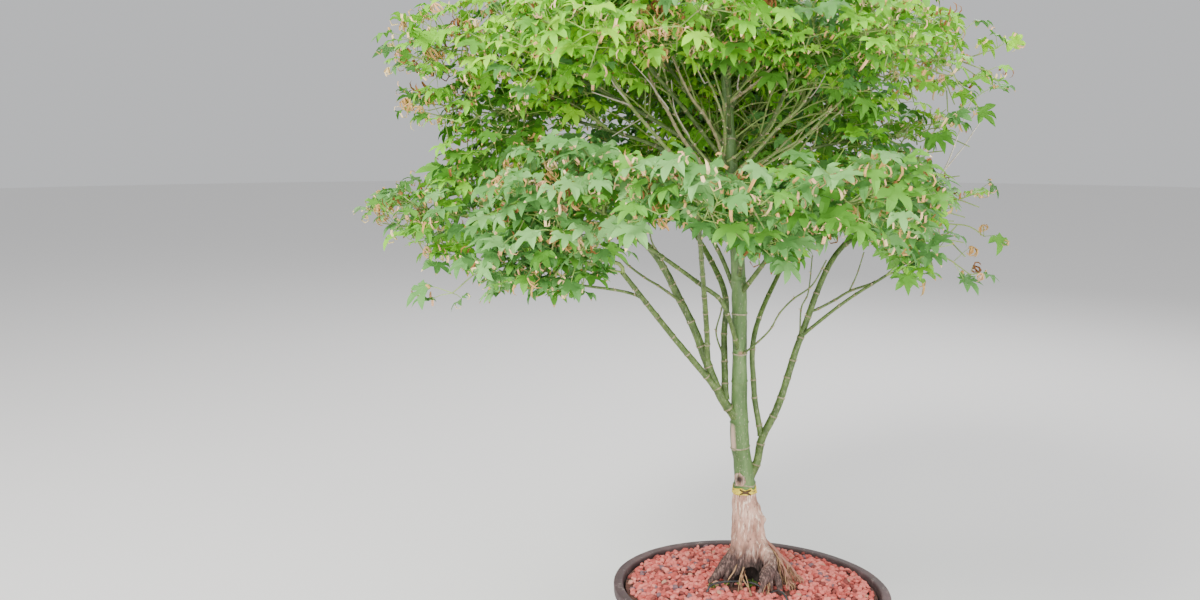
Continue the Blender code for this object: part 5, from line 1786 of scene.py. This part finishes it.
def leaf_template(rng, dried_lobes=(), withered=False, tipped=0.0):
    """One leaf with its hub at the origin, its middle lobe along +Y and its face up, unit lobe length.

    Gives its points, faces, and for each face 0 where it is green and 1 where it is dried.
    """
    points = [(0.0, 0.0, 0.0), *sinus_points(withered, rng)]
    faces, dry = [], []
    for index, (angle, size) in enumerate(zip(LOBE_ANGLES, LOBE_LENGTHS)):
        turn = math.radians(angle + rng.uniform(-6, 6))
        outward = Vector((math.sin(turn), math.cos(turn), 0))
        side = Vector((math.cos(turn), -math.sin(turn), 0))
        kind = "withered" if withered else "dried" if index in dried_lobes else "fresh"
        is_tipped = rng.random() < tipped
        stations = SMALL_STATIONS if size < 0.5 else DRIED_STATIONS if kind == "dried" else FRESH_STATIONS
        if withered:
            stations = WITHERED_STATIONS
        line = draw_lobe_line(kind, stations, size * rng.uniform(0.90, 1.06), rng)
        fold = rng.uniform(8, 24)
        twist = rng.uniform(-0.25, 0.25)
        first = len(points)
        left, right, middle = index + 1, index + 2, first
        faces += [(0, first, left), (0, right, first)]
        dry += [1 if withered else 0] * 2
        for (reach, width), (away, up, dip) in zip(stations, line):
            row = len(points)
            place = outward * away + Vector((0, 0, up))
            points.append(tuple(place))
            if row == first:
                continue
            tan = withered or (kind == "dried" and reach > DRY_FROM) or (is_tipped and reach > DRY_POINT_FROM)
            dry += [1 if tan else 0] * 2
            if width == 0.0:
                faces += [(middle, row, left), (middle, right, row)]
                continue
            normal = Vector((0, 0, math.cos(dip))) - outward * math.sin(dip)
            shrink = 1.0
            if withered or (kind == "dried" and reach > FOLDED_FROM):
                shrink, fold = WITHERED_FOLD if withered else DRIED_FOLD
            for way in (-1, 1):
                lean = math.radians(fold) + twist * way * reach
                edge = side * way * math.cos(lean) + normal * math.sin(lean)
                points.append(tuple(place + edge * width * shrink * (1 + rng.uniform(-0.08, 0.08))))
            faces += [(middle, row, row + 1, left), (middle, right, row + 2, row)]
            left, right, middle = row + 1, row + 2, row
    return np.array(points), faces, dry


def leaf_templates(rng):
    """Fresh leaves, leaves with dry points, with curled dry lobes, and withered ones."""
    return {
        "fresh": [leaf_template(rng) for _ in range(10)],
        "tipped": [leaf_template(rng, tipped=0.7) for _ in range(8)],
        "touched": [leaf_template(rng, rng.sample(range(1, 6), rng.choice((1, 2, 3, 4)))) for _ in range(14)],
        "withered": [leaf_template(rng, withered=True) for _ in range(6)],
    }


def leaf_frame(heading, droop, roll):
    """Columns side, forward and face-up of a blade that points along a level heading and droops."""
    level = Vector((heading.x, heading.y, 0))
    if level.length < 1e-4:
        level = Vector((1, 0, 0))
    level.normalize()
    side = level.cross(Vector((0, 0, 1)))
    forward = (Matrix.Rotation(-droop, 3, side) @ level).normalized()
    turned = Matrix.Rotation(roll, 3, forward)
    side = turned @ side
    return np.array(Matrix((side, forward, side.cross(forward))).transposed())


def touches_limbs(points, samples):
    if len(samples) == 0:
        return False
    apart = np.linalg.norm(points[:, None, :] - samples[None, :, :3], axis=2)
    return bool((apart < samples[None, :, 3] + 0.0008).any())


# Lone shoots that hang out of the crown's underside and right edge: the tint of their leaves, how many
# of their nodes bear leaves, and the points they run through in millimetres
STRAY_SHOOTS = {
    "trailer_end": ("front", 3, ((-206, -107, 499.5), (-219, -128, 510), (-234, -150, 520))),
    "hook_at_the_left": ("low", 1, ((-153, -99, 513), (-226, -145, 528), (-290, -180, 519),
        (-324, -191, 500))),
    "low_right": ("low", 2, ((150, 0, 502), (199, 26, 514), (222, 28, 516), (252, 28, 501))),
    "right": ("low", 1, ((178, 111, 564), (227, 100, 552), (258, 94, 549), (280, 95, 541))),
    "high_right": ("low", 1, ((178, 111, 564), (222, 122, 573), (258, 122, 587))),
}

# Heights under which no side shoot starts, on the limbs in front and on those at the back
SIDE_SHOOT_FLOORS = (0.575, 0.535)
# How far from a mass a side shoot's leaves may hang, in front and at the back, against its half sizes
SIDE_REACHES = (1.45, 1.95)
# Distance between side shoots along a limb, where on it they stand, their lengths and their radii
SIDE_SPACING = {"back": 0.0045, "trunk": 0.006, "front": 0.011}
SIDE_PLACES = (0.20, 0.99)
SIDE_LENGTHS = (0.050, 0.115)
SIDE_RADII = (0.0011, 0.0009, TWIG_TIP_RADIUS)
# Limbs that leaves must not touch: within this share of a mass's half sizes, or this near to a side shoot
MASS_NEIGHBOURS = 1.8
SIDE_NEIGHBOURS = 0.16
# The inside of the crown, from which its leaves point outwards, and the edge of the cubes that hold hubs
CROWN_HEART = Vector((-0.06, 0.02, 0.62))
HUB_CELL = 0.02


def hub_cell(point):
    return tuple(int(math.floor(value / HUB_CELL)) for value in point)


def fills_the_crown(point):
    """Whether a side shoot may reach here: close to a mass, or between the masses at the back."""
    reach = SIDE_REACHES[1] if point.y > 0.06 else SIDE_REACHES[0]
    return min(scaled_distance(mass, point) for mass in MASSES) < reach


class Region:
    """Where a set of leaves may hang, and how they look there."""

    def __init__(self, tint, near, mass=None, is_stray=False):
        self.near = near
        self.mass = mass
        self.is_stray = is_stray
        self.sizes = LEAF_SIZES[tint]
        self.room = LEAF_ROOM[tint]
        self.colours, self.shares = zip(*TINTS[tint])

    def holds(self, point):
        if self.is_stray:
            return True
        if self.mass is not None:
            return in_own_space(self.mass, point, 1.12)
        return fills_the_crown(point)

    def is_outer(self, point):
        return self.mass is not None and scaled_distance(self.mass, point) > 0.60

    def draw_colour(self, rng):
        return rng.choices(self.colours, self.shares)[0]


# How often a leaf tries for room, its stalk's length against the middling one, and the stalk's radii
STALK_TRIALS = 6
STALK_LENGTHS = (0.65, 1.5)
STALK_RADII = (0.00055, 0.00042, 0.00034)
# How strongly a leaf points out of the crown; its droop in degrees, least, most and usual, and its roll
OUTWARD_PULL = 0.7
LEAF_DROOP = (-12, 62, 14)
LEAF_ROLL = 20
# Share of a shoot's leaves that have its own colour
SAME_COLOUR = 0.75


class Foliage:
    """The leaves and twigs of the crown as they are dealt out, mass by mass."""

    def __init__(self, settings, limbs):
        self.settings = settings
        self.limbs = limbs
        self.rng = random.Random(73)
        self.templates = leaf_templates(self.rng)
        self.hubs = {}
        self.samples = np.array([row for limb in limbs.values() for row in limb.samples()])

    def is_free(self, point, room):
        """Whether no leaf's hub is nearer to this point than the room."""
        x, y, z = hub_cell(point)
        for i, j, k in itertools.product((-1, 0, 1), repeat=3):
            if any((other - point).length < room for other in self.hubs.get((x + i, y + j, z + k), ())):
                return False
        return True

    def deal_leaf(self, foot, lean, sheaf, colour, region):
        """Try a few stalks from this node and hang a leaf on the first that has room."""
        rng = self.rng
        settings = self.settings
        for _ in range(STALK_TRIALS):
            stray = random_vector(rng, (-1, 1), (-1, 1), (-0.6, 0.8)) * 0.45
            heading = (lean + stray).normalized()
            stalk = settings.stalk * rng.uniform(*STALK_LENGTHS)
            hub = foot + heading * stalk + Vector((0, 0, 0.10 * stalk))
            if not region.holds(hub) or not self.is_free(hub, region.room):
                continue
            if not region.is_stray and not is_kept(hub, rng):
                return
            pointing = heading + (hub - CROWN_HEART).normalized() * OUTWARD_PULL
            droop = math.radians(rng.triangular(*LEAF_DROOP))
            roll = math.radians(rng.gauss(0, LEAF_ROLL))
            low_size, usual, high_size = region.sizes
            size = settings.lobe * rng.triangular(low_size, high_size, usual)
            shape, faces, dry = rng.choice(self.templates[self.leaf_kind(hub, region)])
            points = shape @ (leaf_frame(pointing, droop, roll) * size).T + np.array(hub)
            low, high = points.min(0), points.max(0)
            if (low < LEAF_BOUNDS[0]).any() or (high > LEAF_BOUNDS[1]).any() or high[2] > crown_top(hub):
                continue
            if touches_limbs(points[::2], region.near):
                continue
            tan = LEAF_FINISHES.index(rng.choice(DRIED_FINISHES))
            green = LEAF_FINISHES.index(colour)
            sheaf.add(points, faces, [tan if is_dry else green for is_dry in dry])
            middle = foot.lerp(hub, 0.55) + Vector((0, 0, 0.0012))
            points, faces = tube([foot, middle, hub], STALK_RADII, 3)
            sheaf.add(points, faces, LEAF_FINISHES.index("leaf_stalk"))
            self.hubs.setdefault(hub_cell(hub), []).append(hub)
            return

    def leaf_kind(self, hub, region):
        """Fresh, dry at its points, with curled dry lobes, or withered all over."""
        draw = self.rng.random()
        in_patch = region.is_stray or any(
            (hub - Vector(centre)).length < radius for centre, radius in DRIED_PATCHES.values())
        if in_patch and draw < self.settings.curled:
            return "withered" if draw < self.settings.curled * WITHERED_SHARE else "touched"
        if not region.is_outer(hub):
            curled, tipped = FILL_CURLED, FILL_TIPPED
        else:
            across = (hub.x - CROWN_MIDDLE[0]) / CROWN_HALF[0]
            back = (hub.y - CROWN_MIDDLE[1]) / CROWN_HALF[1]
            curled = EDGE_CURLED if math.hypot(across, back) > CROWN_RIM else MIDDLE_CURLED
            tipped = self.settings.tipped
        if draw < curled:
            return "touched"
        return "tipped" if draw < curled + tipped else "fresh"

    def dress_shoot(self, shoot, twig_sheaf, leaf_sheaf, region, colour, most=MOST_PAIRS):
        """One shoot's bark, and its leaves in crossing pairs at its outermost nodes."""
        rng = self.rng
        nodes = twig_nodes(shoot, rng)[:most]
        twig_sheaf.add(*dressed_limb(shoot, sorted(nodes[1:]), 0.007, 5, 0.35))
        spin = rng.uniform(0, math.pi)
        for rank, distance in enumerate(nodes):
            tangent, across, upward = frame_near(shoot, distance)
            node = points_at(shoot.path, shoot.lengths, [distance])[0]
            spoke = spoke_at(across, upward, spin + rank * math.pi / 2)
            spoke.z *= 0.55
            for way in (-1, 1):
                lean = tangent * 0.55 + spoke * way + Vector((0, 0, 0.30))
                shade = colour if rng.random() < SAME_COLOUR else region.draw_colour(rng)
                self.deal_leaf(node, lean, leaf_sheaf, shade, region)
            if rank == 0:
                self.deal_leaf(node, tangent + Vector((0, 0, 0.25)), leaf_sheaf, colour, region)

    def leafy_mass(self, mass):
        """All of one mass: its twigs from their common stem, then the leaves on them."""
        settings = self.settings
        carrier, centre, half, tint = MASSES[mass]
        limb = self.limbs[carrier]
        heading = (limb.path[-1] - limb.path[-2]).normalized()
        foot = limb.path[-1] - heading * 0.002
        stem_radius = limb.radii[-1] * 0.97
        twigs = []
        grow([foot, foot + heading * 0.010], [stem_radius, stem_radius * 0.92],
             twig_ends(mass, settings.twig_ends, random.Random(mass)), settings.twig_ends, stem_radius, twigs)
        distance = np.linalg.norm((self.samples[:, :3] - np.array(centre)) / np.array(half), axis=1)
        region = Region(tint, self.samples[distance < MASS_NEIGHBOURS], mass)
        twig_sheaf, leaf_sheaf = Sheaf(), Sheaf()
        for path, radii in twigs:
            shoot = twig_limb(path, radii, self.rng)
            self.dress_shoot(shoot, twig_sheaf, leaf_sheaf, region, region.draw_colour(self.rng))
        return twig_sheaf, leaf_sheaf

    def stray_shoots(self):
        """The lone shoots outside the masses, each from the tip of a limb."""
        rng = self.rng
        twig_sheaf, leaf_sheaf = Sheaf(), Sheaf()
        for tint, most, points in STRAY_SHOOTS.values():
            path = [Vector(point) for point in metres(points)]
            radii = np.linspace(0.0013, TWIG_TIP_RADIUS, len(path))
            region = Region(tint, self.samples[:0], is_stray=True)
            shoot = twig_limb(path, radii, rng)
            self.dress_shoot(shoot, twig_sheaf, leaf_sheaf, region, region.draw_colour(rng), most)
        return twig_sheaf, leaf_sheaf

    def side_shoots(self):
        """Shoots along the boughs inside the crown, which fill it between the masses."""
        rng = self.rng
        sides = {"left": (Sheaf(), Sheaf()), "right": (Sheaf(), Sheaf())}
        for name, limb in self.limbs.items():
            at_back = limb.path[-1].y > 0.10
            place = "back" if at_back else "trunk" if name == "trunk" else "front"
            for _ in range(round(limb.lengths[-1] / SIDE_SPACING[place])):
                distance = rng.uniform(*SIDE_PLACES) * limb.lengths[-1]
                foot = points_at(limb.path, limb.lengths, [distance])[0]
                if foot.z < SIDE_SHOOT_FLOORS[at_back]:
                    continue
                outward = foot - CROWN_HEART
                outward.z = 0
                stray = random_vector(rng, (-1, 1), (-1, 1), (-0.8 if at_back else 0, 1))
                if name == "trunk":
                    stray = random_vector(rng, (-1, 1), (0.2, 1.2), (0.1, 0.8))
                heading = (outward.normalized() * 0.5 + stray).normalized()
                reach = rng.uniform(*SIDE_LENGTHS)
                middle = foot + heading * reach * 0.5 + Vector((0, 0, 0.004))
                end = foot + heading * reach + Vector((rng.uniform(-1, 1), rng.uniform(-1, 1), 0)) * 0.008
                if not fills_the_crown(end) or not is_kept(end, rng):
                    continue
                close = np.linalg.norm(self.samples[:, :3] - np.array(foot), axis=1) < SIDE_NEIGHBOURS
                # The shade tint's brighter greens are painted light for the crown's inside
                region = Region("shade", self.samples[close])
                shoot = twig_limb([foot, middle, end], SIDE_RADII, rng)
                twig_sheaf, leaf_sheaf = sides["left" if end.x < CROWN_HEART.x else "right"]
                self.dress_shoot(shoot, twig_sheaf, leaf_sheaf, region, region.draw_colour(rng))
        return sides


def build_foliage(settings, limbs):
    """The twigs and leaves of each mass, of the lone shoots and of the crown's inside."""
    leaf_materials = []
    for name, colour in LEAF_COLOURS.items():
        roughness = DRY_LEAF_ROUGHNESS if name.startswith("dried") else LEAF_ROUGHNESS
        leaf_materials.append(plain_material(name, colour, roughness, LEAF_GLOSS))
    twig_materials = [plain_finish("twig_green"), plain_finish("twig_ring")]
    foliage = Foliage(settings, limbs)
    dressed = [(mass.replace("mass_", ""), (mass,), foliage.leafy_mass(mass)) for mass in MASSES]
    dressed.append(("stray", (), foliage.stray_shoots()))
    dressed += [("inner_" + side, (), sheaves) for side, sheaves in foliage.side_shoots().items()]
    for name, replaced, (twig_sheaf, leaf_sheaf) in dressed:
        twigs = twig_sheaf.make("twigs_" + name, twig_materials)
        twigs.data.shade_smooth()
        finish_piece(twigs, "twigs_" + name, replaced)
        leaves = leaf_sheaf.make("leaves_" + name, leaf_materials)
        leaves.data.shade_smooth()
        leaves.data.set_sharp_from_angle(angle=math.radians(28))
        finish_piece(leaves, "leaves_" + name, replaced)


# Stage

# The studio: the world's colour and strength, the point the lamps aim at, and each lamp's place,
# diameter, power and colour
WORLD_COLOUR = (0.90, 0.91, 0.93)
WORLD_STRENGTH = 0.72
LAMP_AIM = Vector((-0.05, 0.0, 0.55))
LAMPS = {
    "key_light": ((-1.4, -1.7, 2.4), 1.0, 104, (1.0, 0.98, 0.94)),
    "fill_light": ((1.8, -1.5, 1.0), 1.8, 34, (1.0, 0.99, 0.98)),
    "front_light": ((-0.1, -2.3, 0.75), 1.4, 34, (1.0, 1.0, 0.98)),
    "back_light": ((0.6, 1.9, 2.1), 1.4, 40, (1.0, 1.0, 1.0)),
}


def build_stage(settings):
    """The floor, the lamps and the camera."""
    floor = add_item(bpy.ops.mesh.primitive_circle_add, vertices=96, radius=14, fill_type="NGON",
                     location=(0, 0, -0.0005))
    floor.name = "studio_floor"
    floor.data.materials.append(plain_material("pale_floor", settings.floor, 0.85, 0.5))

    world = bpy.data.worlds.new("studio")
    bpy.context.scene.world = world
    world.use_nodes = True
    background = world.node_tree.nodes["Background"]
    background.inputs["Color"].default_value = (*WORLD_COLOUR, 1.0)
    background.inputs["Strength"].default_value = WORLD_STRENGTH
    for name, (place, size, power, colour) in LAMPS.items():
        lamp = add_item(bpy.ops.object.light_add, type="AREA", location=place)
        lamp.name = name
        lamp.data.shape = "DISK"
        lamp.data.size = size
        lamp.data.energy = power
        lamp.data.color = colour
        lamp.rotation_euler = (LAMP_AIM - Vector(place)).to_track_quat("-Z", "Y").to_euler()

    camera = add_item(bpy.ops.object.camera_add, location=CAMERA_PLACE)
    camera.name = "photo_view"
    camera.rotation_euler = (math.radians(90 - CAMERA_DIP), 0, math.radians(CAMERA_TURN))
    camera.data.sensor_width = SENSOR_WIDTH
    camera.data.lens = CAMERA_FOCAL_PIXELS / PICTURE_WIDTH * SENSOR_WIDTH
    camera.data.clip_start = 0.01
    bpy.context.scene.camera = camera


# Operators and panel

class BONSAI_OT_stage(bpy.types.Operator):
    """Make the floor, the studio light and the camera"""
    bl_idname = "bonsai.make_stage"
    bl_label = "Stage"

    def execute(self, context):
        build_stage(context.scene.bonsai_stage)
        return {"FINISHED"}


class BONSAI_OT_pot(bpy.types.Operator):
    """Make the oval clay pot"""
    bl_idname = "bonsai.make_pot"
    bl_label = "Pot"

    def execute(self, context):
        build_pot(context.scene.bonsai_pot)
        return {"FINISHED"}


class BONSAI_OT_soil(bpy.types.Operator):
    """Make the soil bed in the pot"""
    bl_idname = "bonsai.make_soil"
    bl_label = "Soil"

    def execute(self, context):
        build_soil(context.scene.bonsai_pot)
        return {"FINISHED"}


class BONSAI_OT_gravel(bpy.types.Operator):
    """Make the lava stones on the soil"""
    bl_idname = "bonsai.make_gravel"
    bl_label = "Gravel"

    def execute(self, context):
        build_gravel(context.scene.bonsai_gravel, context.scene.bonsai_pot)
        return {"FINISHED"}


class BONSAI_OT_rootstock(bpy.types.Operator):
    """Make the flared foot with its surface roots"""
    bl_idname = "bonsai.make_rootstock"
    bl_label = "Rootstock"

    def execute(self, context):
        build_rootstock(context.scene.bonsai_bark, all_limbs())
        return {"FINISHED"}


class BONSAI_OT_stem(bpy.types.Operator):
    """Make the trunk above the graft"""
    bl_idname = "bonsai.make_stem"
    bl_label = "Stem"

    def execute(self, context):
        build_stem(all_limbs())
        return {"FINISHED"}


class BONSAI_OT_boughs(bpy.types.Operator):
    """Make the bark of the boughs"""
    bl_idname = "bonsai.make_boughs"
    bl_label = "Boughs"

    def execute(self, context):
        build_boughs(context.scene.bonsai_bark, all_limbs())
        return {"FINISHED"}


class BONSAI_OT_thin_limbs(bpy.types.Operator):
    """Make the thin limbs, the stems in the crown's heart and the dead twigs"""
    bl_idname = "bonsai.make_thin_limbs"
    bl_label = "Thin limbs"

    def execute(self, context):
        build_thin_limbs(all_limbs())
        return {"FINISHED"}


class BONSAI_OT_thin_roots(bpy.types.Operator):
    """Make the loose roots over the gravel"""
    bl_idname = "bonsai.make_thin_roots"
    bl_label = "Thin roots"

    def execute(self, context):
        build_thin_roots(all_limbs())
        return {"FINISHED"}


class BONSAI_OT_wire(bpy.types.Operator):
    """Make the anchor wire"""
    bl_idname = "bonsai.make_wire"
    bl_label = "Anchor wire"

    def execute(self, context):
        build_wire()
        return {"FINISHED"}


class BONSAI_OT_moss(bpy.types.Operator):
    """Make the moss under the roots"""
    bl_idname = "bonsai.make_moss"
    bl_label = "Moss"

    def execute(self, context):
        build_moss()
        return {"FINISHED"}


class BONSAI_OT_tape(bpy.types.Operator):
    """Make the tape round the graft"""
    bl_idname = "bonsai.make_tape"
    bl_label = "Graft tape"

    def execute(self, context):
        build_band(all_limbs())
        return {"FINISHED"}


class BONSAI_OT_foliage(bpy.types.Operator):
    """Make the twigs and leaves of every mass"""
    bl_idname = "bonsai.make_foliage"
    bl_label = "Twigs and leaves"

    def execute(self, context):
        build_foliage(context.scene.bonsai_leaf, all_limbs())
        return {"FINISHED"}


OPERATORS = (BONSAI_OT_stage, BONSAI_OT_pot, BONSAI_OT_soil, BONSAI_OT_gravel, BONSAI_OT_rootstock,
             BONSAI_OT_stem, BONSAI_OT_boughs, BONSAI_OT_thin_limbs, BONSAI_OT_thin_roots, BONSAI_OT_wire,
             BONSAI_OT_moss, BONSAI_OT_tape, BONSAI_OT_foliage)


class BONSAI_PT_panel(bpy.types.Panel):
    bl_idname = "BONSAI_PT_panel"
    bl_label = "Bonsai"
    bl_space_type = "VIEW_3D"
    bl_region_type = "UI"
    bl_category = "Bonsai"

    def draw(self, context):
        for operator in OPERATORS:
            self.layout.operator(operator.bl_idname)


SETTINGS = {
    "bonsai_pot": BonsaiPotSettings,
    "bonsai_gravel": BonsaiGravelSettings,
    "bonsai_bark": BonsaiBarkSettings,
    "bonsai_leaf": BonsaiLeafSettings,
    "bonsai_stage": BonsaiStageSettings,
}
CLASSES = (*SETTINGS.values(), *OPERATORS, BONSAI_PT_panel)


def register():
    for cls in CLASSES:
        bpy.utils.register_class(cls)
    for name, cls in SETTINGS.items():
        setattr(bpy.types.Scene, name, bpy.props.PointerProperty(type=cls))


def unregister():
    for name in SETTINGS:
        delattr(bpy.types.Scene, name)
    for cls in reversed(CLASSES):
        bpy.utils.unregister_class(cls)


def main():
    register()
    bpy.ops.bonsai.make_stage()
    bpy.ops.bonsai.make_pot()
    bpy.ops.bonsai.make_soil()
    bpy.ops.bonsai.make_gravel()
    bpy.ops.bonsai.make_rootstock()
    bpy.ops.bonsai.make_stem()
    bpy.ops.bonsai.make_boughs()
    bpy.ops.bonsai.make_thin_limbs()
    bpy.ops.bonsai.make_thin_roots()
    bpy.ops.bonsai.make_wire()
    bpy.ops.bonsai.make_moss()
    bpy.ops.bonsai.make_tape()
    bpy.ops.bonsai.make_foliage()


if __name__ == "__main__":
    main()
